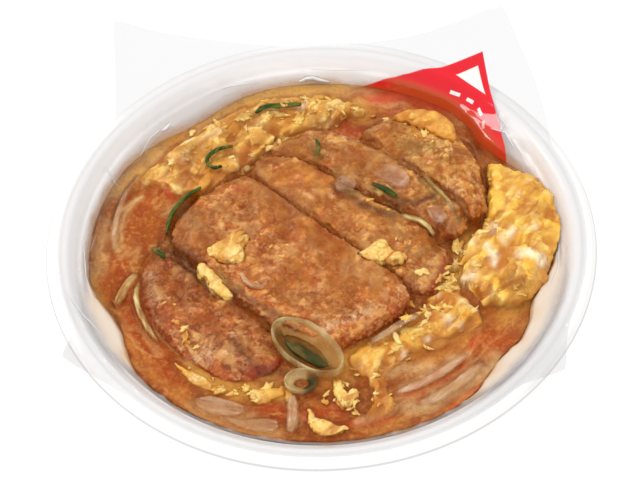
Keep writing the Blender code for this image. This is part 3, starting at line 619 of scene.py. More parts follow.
def make_film(bowl_tree):
    """The film with fine creases, which stand off the bowl and never press into it."""
    film = finer("film", [
        ("SUBSURF", {"subdivision_type": "SIMPLE", "levels": 2, "render_levels": 2}),
        ("SMOOTH", {"iterations": 4, "factor": 0.5}),
    ])
    points = places(film)
    radius = np.hypot(points[:, 0], points[:, 1])
    azimuth = np.arctan2(points[:, 1], points[:, 0])
    along_ring = np.stack([azimuth * 80.0, points[:, 2] * 0.35, radius * 0.35], axis=1)
    crease = np.clip(1.0 - np.abs(noise(along_ring, 9.0, 11)) * 2.2, 0.0, 1.0) ** 3
    on_wall = smooth_step(radius, 60.0, 74.0) * (1.0 - smooth_step(radius, 83.0, 86.0))
    inward = np.stack([-np.cos(azimuth) * 0.8, -np.sin(azimuth) * 0.8, np.full(len(points), 0.5)], axis=1)
    place(film, points + inward * (0.5 * crease * on_wall)[:, None])

    from_bowl = distances(bowl_tree, points)
    hanging = smooth_step(from_bowl, 0.5, 1.8) * (1.0 - smooth_step(points[:, 2], -1.0, 2.5))
    front = 1.0 - smooth_step(points[:, 1], 0.0, 30.0)
    milky = hanging * (0.25 + 0.75 * front) * smooth_step(radius, 66.0, 72.0)
    folded = painted(points, FOLDED_CORNERS) * smooth_step(radius, 80.0, 84.0)
    milky = np.maximum(milky, 0.08 * folded)
    inside = (1.0 - smooth_step(radius, 82.0, 86.0)) * (1.0 - milky)
    above_sauce = points[:, 2] - sauce_level(points[:, 1])
    near_sauce = 1.0 - smooth_step(above_sauce + noise(points, 6.0, 13) * 1.2, 0.4, 3.0)
    sauced_print = painted(points, SAUCED_PRINT) * (1.0 - smooth_step(points[:, 2], -2.5, -0.5))
    stain = np.max([0.75 * near_sauce, painted(points, WARM_WALL) * inside, sauced_print], axis=0)
    store(film, milky=milky, inside=inside, stain=stain)
    return finish_piece(film, film_material(), "clear_film", "film")


def make_crease_highlights(film_tree):
    """Low ridges on the film, pointed at both ends, coloured white as painted highlights."""
    points, faces = [], []
    for path, width in CREASE_HIGHLIGHTS:
        plan = along(path, 0.8)
        heights = heights_under(film_tree, plan)
        ahead = np.gradient(plan, axis=0)
        side = np.stack([-ahead[:, 1], ahead[:, 0]], axis=1) / np.linalg.norm(ahead, axis=1)[:, None]
        swell = width * np.sin(np.linspace(0.03, math.pi - 0.03, len(plan))) ** 0.5
        first = len(points)
        for at, z, across, w in zip(plan, heights, side, swell):
            for reach, rise in ((-0.5, -0.15), (0.0, 0.3), (0.5, -0.15)):
                points.append((*(at + across * reach * w), z + rise * min(w, 1.0)))
        for k in range(len(plan) - 1):
            for i in range(3):
                a, b = first + 3 * k + i, first + 3 * k + (i + 1) % 3
                faces.append((a, b, b + 3, a + 3))
        faces += [(first, first + 1, first + 2), (len(points) - 1, len(points) - 2, len(points) - 3)]
    creases = new_mesh("film_crease_highlights", points, faces)
    # White with a faint grey mottle: painted highlights along the creases
    material, tree = new_material("crease", Roughness=0.2, IOR=1.5, Alpha=0.75)
    color = layered(tree, (255, 255, 255), [(noise_node(tree, 3.0), 1.0, (240, 238, 236))])
    return finish_piece(creases, finish_material(material, color), "clear_film")


# Sauce

# Strokes of colour in the sauce
SUNK_ONION = [
    ([(-61, 29), (-66, 24), (-69, 20), (-70, 15), (-70, 9), (-69, 5)], 0.9, 0.9),
    ([(-63, 28), (-66, 21), (-68, 14), (-67, 9)], 0.7, 0.8),
    ([(-53, 49), (-59, 42), (-67, 35), (-72, 27)], 3.2, 0.6),
    ([(-73, 18), (-74, 6), (-76, -6), (-79, -12)], 2.6, 0.5), ([(-50, 21), (-46, 16), (-43, 7)], 3.0, 0.4),
    ([(31, -53), (39, -49), (47, -44)], 1.1, 1.0), ([(21, -51), (28, -50), (34, -49)], 2.2, 0.8),
    ([(27, -66), (33, -64), (42, -59), (49, -54), (55, -49)], 3.2, 1.0),
    ([(25, -57), (32, -53), (40, -50)], 1.6, 0.6), ([(10, -72), (16, -69), (22, -67)], 1.4, 0.7),
    ([(-42, -63), (-34, -65), (-26, -69)], 3.6, 0.5), ([(-31, -69), (-23, -72), (-17, -75)], 3.0, 0.5),
    ([(4, 66), (16, 68), (30, 66)], 1.6, 0.5), ([(-45, 53), (-36, 63), (-25, 71), (-13, 76)], 2.4, 0.6),
    ([(-30, 69), (-12, 74), (6, 75), (20, 73)], 3.5, 0.6),
]
RED_SAUCE = [
    ([(-56, 31), (-63, 21), (-65, 11), (-64, 4)], 3.0, 0.2), ([(-55, 33), (-50, 28)], 3.0, 1.0),
    ([(21, 70), (33, 70), (47, 64)], 7.0, 1.0), ([(8, 57), (14, 52)], 4.0, 0.7),
    ([(54, -40), (59, -44), (63, -52)], 6.0, 0.35),
    ([(25, -60), (30, -57), (43, -48), (50, -40)], 1.8, 0.9),
    ([(30, -74), (35, -72), (50, -59), (58, -49)], 1.8, 0.8), ([(4, -73), (12, -71), (20, -70)], 1.8, 0.8),
    ([(-66, -22), (-58, -38), (-48, -52)], 5.0, 0.35), ([(26, -62), (36, -57), (46, -50)], 2.4, 0.7),
    ([(-68, 2), (-66, -8), (-64, -16)], 4.0, 0.35), ([(-20, -64), (-6, -68), (4, -66)], 3.0, 0.6),
]
EGG_GLOW = [
    ([(5, -48), (12, -45), (24, -41), (36, -34)], 4.5, 1.0),
    ([(-44, -48), (-30, -57), (-14, -58)], 3.0, 0.8),
    ([(-48, 45), (-36, 56), (-20, 66), (0, 70)], 5.0, 0.7), ([(60, -30), (72, -18)], 4.0, 0.5),
    ([(-72, 32), (-66, 36), (-61, 39)], 2.5, 0.6),
    ([(-62, 47), (-50, 59), (-34, 70), (-14, 77), (8, 78)], 4.5, 1.0),
    ([(-79, -8), (-75, -17), (-72, -23)], 2.5, 0.5), ([(-22, 69), (-6, 69), (8, 67), (16, 64)], 4.0, 0.9),
    ([(50, 4), (48, -4), (46, -12), (40, -20)], 3.0, 0.9),
]
# Stretches of the edge where the sauce lies thin on the film
THIN_EDGES = [
    ([(-58, 52), (-70, 36), (-78, 14), (-79, 0)], 8.0, 1.0), ([(-36, 68), (-10, 78), (14, 78)], 6.0, 0.6),
    ([(24, 75), (44, 66), (60, 44)], 8.0, 1.0), ([(76, 20), (79, 5)], 5.0, 0.6),
    ([(-79, -6), (-76, -18), (-72, -28)], 5.0, 0.8),
]
# Painted shade: broad patches where the sauce is drawn darker and more even, to temper the light that falls
# brighter there
BROAD_PAINTED_SHADE = [
    ([(-62, 28), (-65, 8), (-63, -14), (-58, -30)], 7.0, 0.45),
    ([(34, -62), (46, -54), (58, -44)], 6.0, 0.4),
]
# Painted shade in the deep gaps between pieces, on the sauce and on the crust
PAINTED_GAP_SHADE = [
    ([(-54, 6), (-50, 1), (-46, -4), (-41, -10), (-36, -17)], 2.6, 1.0),
    ([(-36, -17), (-22, -26), (-10, -38)], 1.8, 0.8), ([(5, 24), (12, 17)], 1.6, 0.8),
    ([(14, 15), (24, 10)], 2.4, 0.9), ([(40, 6), (46, 2)], 2.5, 0.2),
    ([(12, -44), (22, -38), (30, -30)], 1.6, 0.9), ([(-30, -38), (-22, -50), (-12, -50)], 1.4, 0.7),
    ([(1, 52), (7, 50)], 2.4, 0.7), ([(23, 18), (27, 15), (32, 14), (38, 16)], 1.8, 0.9),
    ([(40, -2), (44, 4)], 1.8, 0.4), ([(30, -16), (36, -12)], 1.4, 0.5),
]
# Where the sauce lies thicker on the food, and where food stands bare of it
THICK_SAUCE = [
    ([(-16, 22), (-6, 8), (4, -8), (12, -20)], 7.0, 0.5), ([(8, 40), (20, 30)], 5.0, 0.5),
    ([(-44, 12), (-40, 2), (-36, -6)], 4.0, 0.9), ([(-26, 34), (-14, 42), (-6, 44)], 4.0, 0.9),
    ([(-48, 42), (-38, 50), (-26, 58), (-10, 66)], 4.0, 0.6), ([(12, 48), (20, 40), (30, 32)], 3.0, 0.8),
    ([(62, -19), (70, -24)], 5.0, 0.9), ([(20, -52), (30, -46), (40, -36)], 3.0, 0.6),
]
BARE_FOOD = [
    ([(2, -43), (8, -39), (16, -36), (24, -30), (28, -23)], 3.0, 1.0),
    ([(43, 0), (45, 4), (50, 8)], 3.0, 1.0), ([(54, 8), (57, 18), (56, 30)], 3.0, 1.0),
    ([(-21, -53), (-17, -51), (-12, -45)], 3.0, 1.0), ([(43, -5), (41, -13), (36, -20)], 3.0, 0.8),
    ([(-36, -8), (-26, -20), (-12, -36)], 2.5, 0.9),
    ([(60, 28), (70, 14), (72, 0), (66, -8), (56, -8)], 7.0, 0.45),
    ([(22, 60), (34, 58), (42, 50)], 4.0, 0.5), ([(50, -16), (44, -26), (32, -36), (20, -44)], 5.0, 0.4),
    ([(-50, -42), (-40, -51), (-28, -58), (-14, -60)], 4.0, 0.9), ([(10, -58), (18, -62)], 5.0, 0.6),
]


def sauce_level(y):
    """Height of the sauce, which stands a little higher in front."""
    return -SAUCE_DEPTH - SAUCE_FALL * y / SAUCE_RADIUS


def sauce_material():
    """Thick cloudy sauce: brown, paler over what lies sunk in it, and glossy, with painted shade in the gaps
    between pieces and in broad patches.
    """
    material, tree = new_material("sauce", Roughness=0.2, IOR=1.28)
    streaks = ranged(tree, noise_node(tree, 2.2, offset=5.0), 0.3, 0.7, 0.5, 1.0)
    layers = [
        (noise_node(tree, 16.0, 4.0), 1.0, (170, 84, 14), 0.35, 0.65),
        # Pale and dark streaks of flow, with painted shade where the flow is lowered
        ("flow_and_shade", 0.6, (212, 144, 64), 0.5, 1.0),
        ("flow_and_shade", 0.7, (142, 64, 10), 0.5, 0.0),
        ("red", 0.8, (196, 66, 20)),
        ("wisps", 0.4, (230, 180, 108)),
        (times(tree, stored(tree, "onion"), streaks), 1.0, (222, 180, 122)),
        ("egg", 0.8, (238, 180, 78)),
        # Painted shade in the gaps between pieces
        ("dark", 0.85, (88, 40, 12)),
    ]
    for size, strength in ((3.6, 0.5), (1.3, 0.6)):
        mottle = noise_node(tree, size, 4.0, offset=15.0 + size, roughness=0.7)
        layers.append((mottle, strength, (222, 160, 80), 0.54, 0.74))
        layers.append((mottle, strength, (132, 50, 6), 0.46, 0.28))
    layers.append(("red", 0.6, (216, 82, 52), 0.8, 1.0))
    relief = noise_node(tree, 2.2, 4.0, offset=9.0, roughness=0.7)
    cover = ranged(tree, stored(tree, "clear"), 0.0, 1.0, 1.0, 0.12)
    return finish_material(material, layered(tree, (140, 62, 8), layers), relief, 0.35, 0.8, cover)


def wall_radius(film_tree, azimuth, z):
    """Radius at which a level ray from the bowl's axis meets the film."""
    origin = Vector((0.0, 0.0, (z + LIP) * MM))
    direction = Vector((math.cos(azimuth), math.sin(azimuth), 0.0))
    return film_tree.ray_cast(origin, direction)[3] / MM


def disc_grid():
    """Even points over a disc of radius 1, as rows of a square grid bent to fit it."""
    line = np.linspace(-1.0, 1.0, SAUCE_GRID)
    u, v = np.meshgrid(line, line)
    return np.stack([u * np.sqrt(1.0 - v * v / 2.0), v * np.sqrt(1.0 - u * u / 2.0)], axis=-1)


def blurred(rows, width):
    """A grid of numbers, softened over some cells each way."""
    reach = int(3 * width) + 1
    kernel = np.exp(-0.5 * (np.arange(-reach, reach + 1) / width) ** 2)
    kernel /= kernel.sum()
    for axis in (0, 1):
        padded = np.apply_along_axis(lambda line: np.pad(line, reach, mode="edge"), axis, rows)
        rows = np.apply_along_axis(lambda line: np.convolve(line, kernel, mode="valid"), axis, padded)
    return rows


def spread(rows):
    """Each number in a grid raised to the highest of it and the eight around it."""
    for axis in (0, 1):
        rows = np.maximum(rows, np.maximum(np.roll(rows, 1, axis), np.roll(rows, -1, axis)))
    return rows


def skin_heights(plan, level, food):
    """Height of the sauce at each place: its level, a bank against the food, or a thin skin over it."""
    cell = 2.0 * SAUCE_RADIUS / (SAUCE_GRID - 1)
    flat = np.column_stack([plan, level])
    wander = 0.5 * fractal(flat, 7.0, 31) + 0.3 * noise(flat, 2.4, 41) + 0.6 * painted(flat, THICK_SAUCE)
    bare = painted(flat, BARE_FOOD)
    covered = level.copy()
    for kind, pieces in food.items():
        heights = heights_under(tree_of(pieces), plan)
        rows = spread(np.maximum(heights, level - 3.0).reshape(SAUCE_GRID, SAUCE_GRID))
        skin = blurred(rows, SKIN_BLUR / cell).ravel()
        bank = blurred(np.maximum(rows, level.reshape(rows.shape) - 1.0), BANK_BLUR / cell).ravel()
        skin += SKIN_RISE[kind] + wander - 2.5 * bare
        bank += BANK_RISE[kind] + wander - 4.0 * bare
        for over in (skin, bank):
            blend = np.clip(0.5 + 0.5 * (over - covered) / SKIN_FILLET, 0.0, 1.0)
            covered = covered + (over - covered) * blend + SKIN_FILLET * blend * (1.0 - blend)
    return covered


def sauce_fields(points):
    """Fields of colour in the sauce at each point."""
    warped = wandered(points, 1.6, 5.0, (21, 22))
    azimuth = np.arctan2(warped[:, 1], warped[:, 0])
    bent = np.column_stack([azimuth * 16.0, np.hypot(warped[:, 0], warped[:, 1]), 0 * azimuth])
    flow_and_shade = 0.5 + 0.55 * fractal(bent, 5.0, 27, 4) + 0.35 * fractal(bent, 1.6, 28)
    # Painted shade: darker, more even sauce in broad patches
    flow_and_shade -= painted(warped, BROAD_PAINTED_SHADE)
    swirled = fractal(bent + 2.0 * noise(points, 9.0, 23)[:, None], 6.0, 29)
    threads = np.clip(1.0 - np.abs(swirled) / 0.12, 0.0, 1.0)
    fields = {"flow_and_shade": flow_and_shade, "wisps": threads * smooth_step(noise(points, 12.0, 30), -0.3, 0.4)}
    for name, strokes in (("onion", SUNK_ONION), ("red", RED_SAUCE), ("egg", EGG_GLOW), ("dark", PAINTED_GAP_SHADE)):
        fields[name] = painted(warped, strokes)
    return fields


def border(rows):
    """A grid's outermost entries, in order round it."""
    return np.concatenate([rows[0, :-1], rows[:-1, -1], rows[-1, :0:-1], rows[:0:-1, 0]])


def rings_below(film_tree, azimuths, heights, inset):
    """Level rings of points just inside the film, drawn in by an inset."""
    rings = []
    for z in heights:
        radius = np.interp(azimuths, AROUND, [wall_radius(film_tree, a, z) for a in AROUND]) - inset
        rings.append(np.column_stack([radius * np.cos(azimuths), radius * np.sin(azimuths), z + 0 * radius]))
    return rings


def closed_layer(name, top, rings):
    """A closed mesh: a square grid of points on top, and rings below that each follow the grid's border."""
    count = math.isqrt(len(top))
    index = np.arange(count * count).reshape(count, count)
    faces = [(index[r, c], index[r, c + 1], index[r + 1, c + 1], index[r + 1, c])
             for r in range(count - 1) for c in range(count - 1)]
    above = border(index)
    first = len(top)
    for ring in rings:
        below = list(range(first, first + len(ring)))
        for i, here in enumerate(below):
            faces.append((above[i], here, below[(i + 1) % len(below)], above[(i + 1) % len(below)]))
        above = below
        first += len(ring)
    faces.append(tuple(above))
    return new_mesh(name, np.vstack([top, *rings]), [tuple(int(i) for i in face) for face in faces])


def make_sauce(film_tree, food):
    """The sauce: a clear skin that rises over the food, on a cloudy bed, both up against the film."""
    disc = disc_grid()
    edges = [wall_radius(film_tree, a, sauce_level(SAUCE_RADIUS * math.sin(a))) - SAUCE_GAP for a in AROUND]
    material = sauce_material()
    azimuths = np.arctan2(disc[..., 1], disc[..., 0])
    edge = np.interp(azimuths, AROUND, edges)
    plan = (disc * edge[..., None]).reshape(-1, 2)
    level = sauce_level(plan[:, 1])
    flat = np.column_stack([plan, level])
    from_edge = edge.ravel() - np.linalg.norm(plan, axis=1)
    level = level + 0.22 * fractal(flat, 11.0, 3) + 0.4 * np.exp(-from_edge / 0.8)
    inner = smooth_step(from_edge, 0.0, 1.5)
    top = np.column_stack([plan, level + (skin_heights(plan, level, food) - level) * inner])
    rings = rings_below(film_tree, border(azimuths), SAUCE_RINGS, 0.0)
    sauce = closed_layer("sauce_fine", top, rings)
    thin = np.exp(-from_edge / (EDGE_CLEARNESS + 4.5 * painted(flat, THIN_EDGES)))
    thin *= 0.75 + 0.25 * noise(flat, 5.0, 43)
    clear = np.zeros(len(sauce.data.vertices))
    clear[:len(top)] = np.maximum(np.exp(-distances(tree_of_food(food), top) / SKIN_CLEARNESS), thin)
    clear[len(top):len(top) + len(rings[0])] = 1.0
    store(sauce, clear=clear, **sauce_fields(places(sauce)))

    azimuths, edge = azimuths[::2, ::2], edge[::2, ::2]
    rim = np.column_stack([(np.cos(azimuths) * edge).ravel(), (np.sin(azimuths) * edge).ravel()])
    inset = (BED_INSET + 5.0 * painted(rim, THIN_EDGES)).reshape(edge.shape)
    bed_plan = (disc[::2, ::2] * (edge - inset)[..., None]).reshape(-1, 2)
    bed_level = level.reshape(SAUCE_GRID, SAUCE_GRID)[::2, ::2].ravel() - BED_DEPTH
    rings = rings_below(film_tree, border(azimuths), BED_RINGS, border(inset))
    bed = closed_layer("sauce_bed", np.column_stack([bed_plan, bed_level]), rings)
    store(bed, clear=np.zeros(len(bed.data.vertices)), **sauce_fields(places(bed)))
    finish_piece(bed, material, "sauce")
    return finish_piece(sauce, material, "sauce", "sauce")


# Cutlet

# Where the crust lies under smooth sauce and its crumbs show less
GLAZED = [
    ([(-16, 22), (-6, 8), (4, -8), (12, -20)], 9.0, 0.8), ([(-10, 36), (0, 26), (12, 12)], 6.0, 0.7),
    ([(8, 40), (20, 30)], 5.0, 0.6), ([(-30, -14), (-14, -26)], 5.0, 0.5),
]
# Where the crumbs stand out pale, and where the crust is soaked dark red
PALE_CRUMBS = [
    ([(0, -37), (7, -34), (13, -31), (17, -29)], 1.8, 0.8), ([(-59, -8), (-57, -15), (-54, -21)], 2.0, 0.5),
    ([(-42, -44), (-36, -43), (-30, -42)], 2.2, 0.5), ([(-12, 22), (-7, 15)], 3.2, 0.5),
    ([(11, 48), (21, 38), (31, 31)], 1.4, 0.7), ([(26, -22), (30, -18)], 2.0, 0.5),
    ([(44, 12), (46, 18)], 2.0, 0.5),
]
SOAKED_ENDS = [
    ([(6, -44), (14, -40), (21, -35), (28, -29)], 2.2, 1.0),
    ([(32, -27), (36, -22), (39, -16), (42, -8)], 2.2, 0.8), ([(40, 5), (44, 1), (46, 8)], 2.6, 0.5),
    ([(54, 25), (56, 16), (53, 9)], 1.6, 0.6), ([(-24, -51), (-16, -49), (-13, -44)], 2.4, 0.8),
    ([(-6, 26), (0, 18)], 1.2, 0.4),
]
# Green leaf juice and shreds pressed into the crust
GREEN_STAINS = [
    ([(19, 21), (23, 20), (26, 18)], 1.5, 1.0), ([(37, 23), (42, 16), (47, 8)], 0.9, 0.9),
    ([(-2, 42), (0, 37)], 1.6, 0.8), ([(9, 22), (11, 20), (14, 21)], 1.2, 0.9),
    ([(30, 40), (38, 37)], 3.0, 0.5), ([(34, 25), (38, 18), (41, 11)], 0.7, 0.8),
    ([(6, 32), (9, 27)], 1.8, 0.6), ([(-34, -12), (-28, -20)], 1.6, 0.5), ([(-12, 50), (-8, 46)], 2.0, 0.4),
    ([(32, -8), (37, -4)], 1.8, 0.5), ([(26, 3), (29, 0), (29, -5), (28, -8)], 0.4, 0.9),
]
# Each slice's plain, dark and pale colour
CRUST_TONES = {
    "cutlet_slice_1": ((186, 94, 24), (116, 40, 8), (226, 158, 88)),
    "cutlet_slice_2": ((212, 128, 38), (150, 62, 10), (238, 180, 106)),
    "cutlet_slice_3": ((218, 140, 46), (154, 72, 18), (242, 188, 112)),
    "cutlet_slice_4": ((222, 144, 44), (148, 68, 16), (244, 194, 118)),
    "cutlet_slice_5": ((230, 158, 52), (154, 80, 20), (246, 202, 118)),
}
# Axes of the smears on the crust, the second along the slices
SLICE_AXES = np.array([[0.83, 0.55, 0.0], [0.55, -0.83, 0.0], [0.0, 0.0, 1.0]])


def crust_material(name, plain, dark, pale):
    """Fried crumbs soaked in sauce: each crumb its own tint, wet on top, with painted shade in the hollows,
    on the steep and low sides and in the gaps between pieces.
    """
    material, tree = new_material(
        name, Roughness=0.42, IOR=1.34, Coat_Weight=0.12, Coat_Roughness=0.15, Coat_IOR=1.35)
    crumbed = ranged(tree, stored(tree, "glaze"), 0.9, 0.1, 0.25, 1.0)
    spots = noise_node(tree, 2.8, offset=18.0, roughness=0.6)
    hollow = ranged(tree, stored(tree, "height"), 1.0, 0.5, 0.55, 1.0)
    speckled = ranged(tree, noise_node(tree, 1.4, offset=30.0, roughness=0.7), 0.42, 0.6)
    color = layered(tree, plain, [
        (noise_node(tree, 11.0, 5.0, roughness=0.65), 0.6, dark, 0.36, 0.66),
        ("tint", 0.6, pale, 0.6, 1.0),
        ("tint", 0.6, dark, 0.3, 0.0),
        # Painted shade in the low parts of the crumb relief
        ("height", 0.7, dark, 0.4, 0.05),
        *cell_layers(tree, 0.8, pale, dark, times(tree, crumbed, 0.45)),
        *cell_layers(tree, 1.7, pale, dark, times(tree, crumbed, 0.35)),
        (noise_node(tree, 5.0, offset=8.0, roughness=0.6), 0.55, (222, 160, 104), 0.56, 0.7),
        ("smear", 0.65, (232, 178, 104), 0.58, 0.9),
        ("smear", 0.55, (190, 90, 30), 0.4, 0.15),
        (spots, 0.6, (196, 70, 24), 0.6, 0.72),
        (spots, 0.6, (236, 184, 132), 0.4, 0.3),
        # Painted shade on the steep sides, deeper in the hollows, laid with the real dark red of the soaked
        # ends
        (times(tree, stored(tree, "side"), hollow), 1.0, (144, 40, 6)),
        # Painted shade in the gaps between pieces
        ("dark", 0.8, (84, 36, 14)),
        ("green", 0.75, (106, 104, 42)),
        (times(tree, stored(tree, "pale"), speckled), 1.0, (236, 198, 150)),
    ])
    return finish_material(material, color, noise_node(tree, 0.6, 4.0, offset=2.0, roughness=0.7), 0.35, 0.8)


def make_slice(node, seed):
    """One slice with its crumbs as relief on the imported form."""
    piece, points, normal = remeshed(node, CRUST_GRID, 5)
    coarse, coarse_number = crumbs(points, CRUMB_SIZES[0], seed)
    fine, fine_number = crumbs(points, CRUMB_SIZES[1], seed + 50)
    side = 1.0 - smooth_step(normal[:, 2], 0.25, 0.85)
    glazed = frayed(points, GLAZED, 2.5, 7.0, seed) + 0.7 * fractal(points, 9.0, seed + 9)
    glazed = np.clip(glazed, 0.0, 0.9) * (1.0 - side)
    relief = (0.32 * coarse + 0.3 * fine) * (1.0 - glazed) * (1.0 + 1.4 * side)
    relief += 0.3 * fractal(points, 5.0, seed + 3) + 0.3 * side * noise(points, 2.4, seed + 5)
    place(piece, points + normal * (relief - 0.2)[:, None])
    low = 1.0 - smooth_step(points[:, 2], -4.5, -1.5)
    tint = 0.5 + (0.4 * coarse_number + 0.6 * fine_number - 0.5) * (1.0 - 0.8 * glazed)
    smeared = wandered(points, 3.0, 6.0, range(seed + 31, seed + 34)) @ SLICE_AXES * [1.0, 0.4, 0.7]
    soaked = frayed(points, SOAKED_ENDS, 1.2, 2.6, seed + 12)
    # side: painted shade on steep faces, more low down, together with the real soaked ends; dark: painted
    # shade in the gaps between pieces
    store(piece, tint=tint, height=relief * 1.6 + 0.45 * glazed, glaze=glazed,
          smear=0.5 + 0.7 * fractal(smeared, 3.4, seed + 34),
          side=np.maximum(side * (0.6 + 0.4 * low), soaked),
          dark=frayed(points, PAINTED_GAP_SHADE, 0.8, 3.0, seed + 7),
          green=frayed(points, GREEN_STAINS, 0.8, 2.0, seed + 8),
          pale=frayed(points, PALE_CRUMBS, 1.6, 2.6, seed + 11))
    return finish_piece(piece, crust_material(node + "_crust", *CRUST_TONES[node]), "cutlet_crust", node)


# Egg

# Where the egg is white, and where sauce lies on it
WHITE_CURDS = [
    ([(57, 4)], 3.6, 1.0), ([(67, -8), (73, -10)], 3.0, 1.0), ([(57, -9), (56, -5)], 2.2, 0.9),
    ([(42, -14), (48, -16)], 2.8, 1.0), ([(50, -1)], 2.6, 0.7), ([(40, -32), (45, -34)], 2.2, 0.6),
    ([(25, -45)], 1.8, 0.7), ([(36, -14)], 2.4, 0.6), ([(61, -2), (64, 2)], 1.6, 0.8),
    ([(70, 2), (74, 4)], 1.4, 0.7), ([(46, -24), (50, -27)], 2.0, 0.9), ([(65, 16), (69, 19)], 1.2, 0.5),
    ([(33, -40)], 1.6, 0.7), ([(38, -20)], 2.0, 0.8), ([(30, -36)], 1.4, 0.7),
    ([(-38, 50), (-34, 54)], 2.4, 0.6), ([(-24, 60)], 2.0, 0.6), ([(-46, 43)], 2.4, 0.7),
    ([(-8, 63), (-4, 66)], 1.8, 0.6),
]
SAUCED_EGG = [
    ([(62, -19)], 4.0, 0.8), ([(65, -27), (72, -19), (78, -11)], 4.0, 0.8),
    ([(70, 15), (76, 11), (72, 7)], 2.6, 0.7), ([(-29, 60), (-23, 57)], 2.6, 1.0),
    ([(8, 57), (14, 55)], 3.0, 0.9), ([(-45, 42), (-40, 48)], 2.6, 0.6), ([(-26, 42), (-20, 50)], 2.4, 0.5),
    ([(34, -28), (38, -24)], 3.0, 0.6), ([(8, -52), (14, -58)], 3.0, 0.5),
]
# Each look's yellow, deep and pale colour
EGG_TONES = {
    "egg": ((255, 211, 92), (248, 187, 62), (255, 238, 156)),
    "torn_egg": ((246, 210, 116), (234, 180, 82), (252, 230, 158)),
    "egg_pale": ((244, 196, 92), (226, 160, 64), (252, 232, 162)),
    "egg_orange": ((240, 176, 70), (224, 146, 48), (250, 206, 112)),
    "egg_low": ((238, 184, 74), (222, 152, 44), (250, 222, 138)),
}
# Axes of the egg's streaks, the second along them
STREAK_AXES = np.array([[0.8, 0.6, 0.0], [-0.6, 0.8, 0.0], [0.0, 0.0, 1.0]])

# Where torn egg lies scattered, each a path in plan, a width, and the number of flakes on it
EGG_SCATTER = [
    ([(46, -14), (38, -26), (26, -40), (14, -50), (6, -58)], 8.0, 70),
    ([(56, 30), (58, 10), (52, -6)], 4.0, 8), ([(72, 30), (78, 8), (74, -12), (62, -24)], 4.0, 12),
    ([(-50, 38), (-36, 54), (-18, 62), (2, 66), (14, 62)], 7.0, 90),
    ([(-30, 36), (-20, 44), (-8, 52)], 4.0, 22), ([(-46, -46), (-34, -56), (-20, -60), (-8, -60)], 4.0, 18),
    ([(0, -62), (12, -66), (20, -62)], 4.0, 12), ([(-54, -14), (-50, -28), (-44, -38)], 3.0, 8),
    ([(20, 52), (34, 48), (40, 40)], 3.0, 8), ([(47, 2), (46, -6), (44, -12), (40, -18)], 2.5, 40),
    ([(-30, 10), (0, -10), (20, 10), (30, 30)], 16.0, 8),
]
SCATTER_RADIUS = 74.0
# A torn flake: its corners, and the heights and sizes of its top, its middle and its underside
FLAKE_SIDES = 12
FLAKE_LAYERS = ((0.35, 0.7), (0.0, 1.0), (-0.6, 0.6))


def egg_material(name, yellow, deep, pale):
    """Soft set egg: yellow flakes, deeper where sauce lies on them, with white curds."""
    material, tree = new_material(
        name, Roughness=0.3, IOR=1.36, Subsurface_Weight=0.1, Subsurface_Scale=0.0012)
    borders = uneven_cells(tree, 2.8, feature="DISTANCE_TO_EDGE").outputs["Distance"]
    cracked = ranged(tree, noise_node(tree, 6.0, 2.0, offset=12.0), 0.42, 0.6, 0.0, 0.5)
    color = layered(tree, yellow, [
        (noise_node(tree, 8.0, 4.0, roughness=0.65), 1.0, deep, 0.36, 0.64),
        ("tone", 0.85, pale, 0.55, 0.95),
        ("tone", 0.85, (206, 132, 42), 0.4, 0.05),
        *cell_layers(tree, 3.4, pale, (204, 128, 36), 0.35),
        (noise_node(tree, 4.0, offset=6.0), 0.5, (200, 172, 74), 0.56, 0.72),
        (borders, cracked, (178, 100, 28), 0.14, 0.01),
        ("height", 0.9, (190, 112, 32), 0.42, 0.12),
        ("sauced", 0.85, (186, 106, 36)),
        ("white", 0.85, (255, 244, 210), 0.1, 1.0),
    ])
    return finish_material(material, color, noise_node(tree, 2.2, offset=3.0), 0.25, 0.6)


def make_egg(node, seed, depth, material, ragged, muddy, clears):
    """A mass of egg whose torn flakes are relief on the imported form, muddy where the sauce runs over it."""
    piece, points, normal = remeshed(node, EGG_GRID if depth > 0.5 else BIT_GRID, 3)
    large, large_number = flakes(points, FLAKE_SIZES[0], seed)
    lengthwise = wandered(points, 4.0, 9.0, range(seed + 21, seed + 24)) @ STREAK_AXES * [1.0, 0.3, 0.6]
    ribbons = smooth_step(np.abs(fractal(lengthwise, 4.4, seed + 10, 2)), 0.02, 0.5)
    streaks = 0.5 + 0.7 * fractal(lengthwise, 1.6, seed + 31)
    relief = 0.45 * large + 0.45 * ribbons + 0.1 * streaks
    side = 1.0 - smooth_step(np.abs(normal[:, 2]), 0.2, 0.7)
    jagged = (flakes(points, FLAKE_SIZES[1], seed + 12)[0] - 0.5) + 0.5 * noise(points, 1.4, seed + 13)
    warped = wandered(points, 1.8, 4.0, range(seed + 1, seed + 4))
    curds = painted(warped, WHITE_CURDS) * (0.7 + 0.8 * fractal(points, 2.4, seed + 15))
    rise = (relief - 0.55) * 2.0 * depth + ragged * (0.1 + 0.9 * side) * jagged + 0.5 * depth * curds
    place(piece, points + normal * rise[:, None])
    above = points[:, 2] + rise * normal[:, 2] - sauce_level(points[:, 1])
    sunk = 1.0 - smooth_step(above + 0.3 * clears * noise(points, 2.4, seed + 16), 0.2 * clears, clears)
    veiled = muddy * smooth_step(fractal(warped, 7.0, seed + 17), 0.0, 0.5)
    sauced = np.max([painted(warped, SAUCED_EGG), 0.85 * sunk, veiled], axis=0)
    store(piece, height=relief, tone=0.2 * large_number + 0.8 * streaks, white=curds, sauced=sauced)
    return finish_piece(piece, material, "egg", node)


def scatter(paths, seed):
    """Random places in plan beside the paths of a list."""
    chance = random.Random(seed)
    spots = []
    for path, width, count in paths:
        line = along(path, 1.0)
        for _ in range(count):
            x, y = line[chance.randrange(len(line))]
            spots.append((x + chance.gauss(0.0, 0.5 * width), y + chance.gauss(0.0, 0.5 * width)))
    return [spot for spot in spots if math.hypot(*spot) < SCATTER_RADIUS]


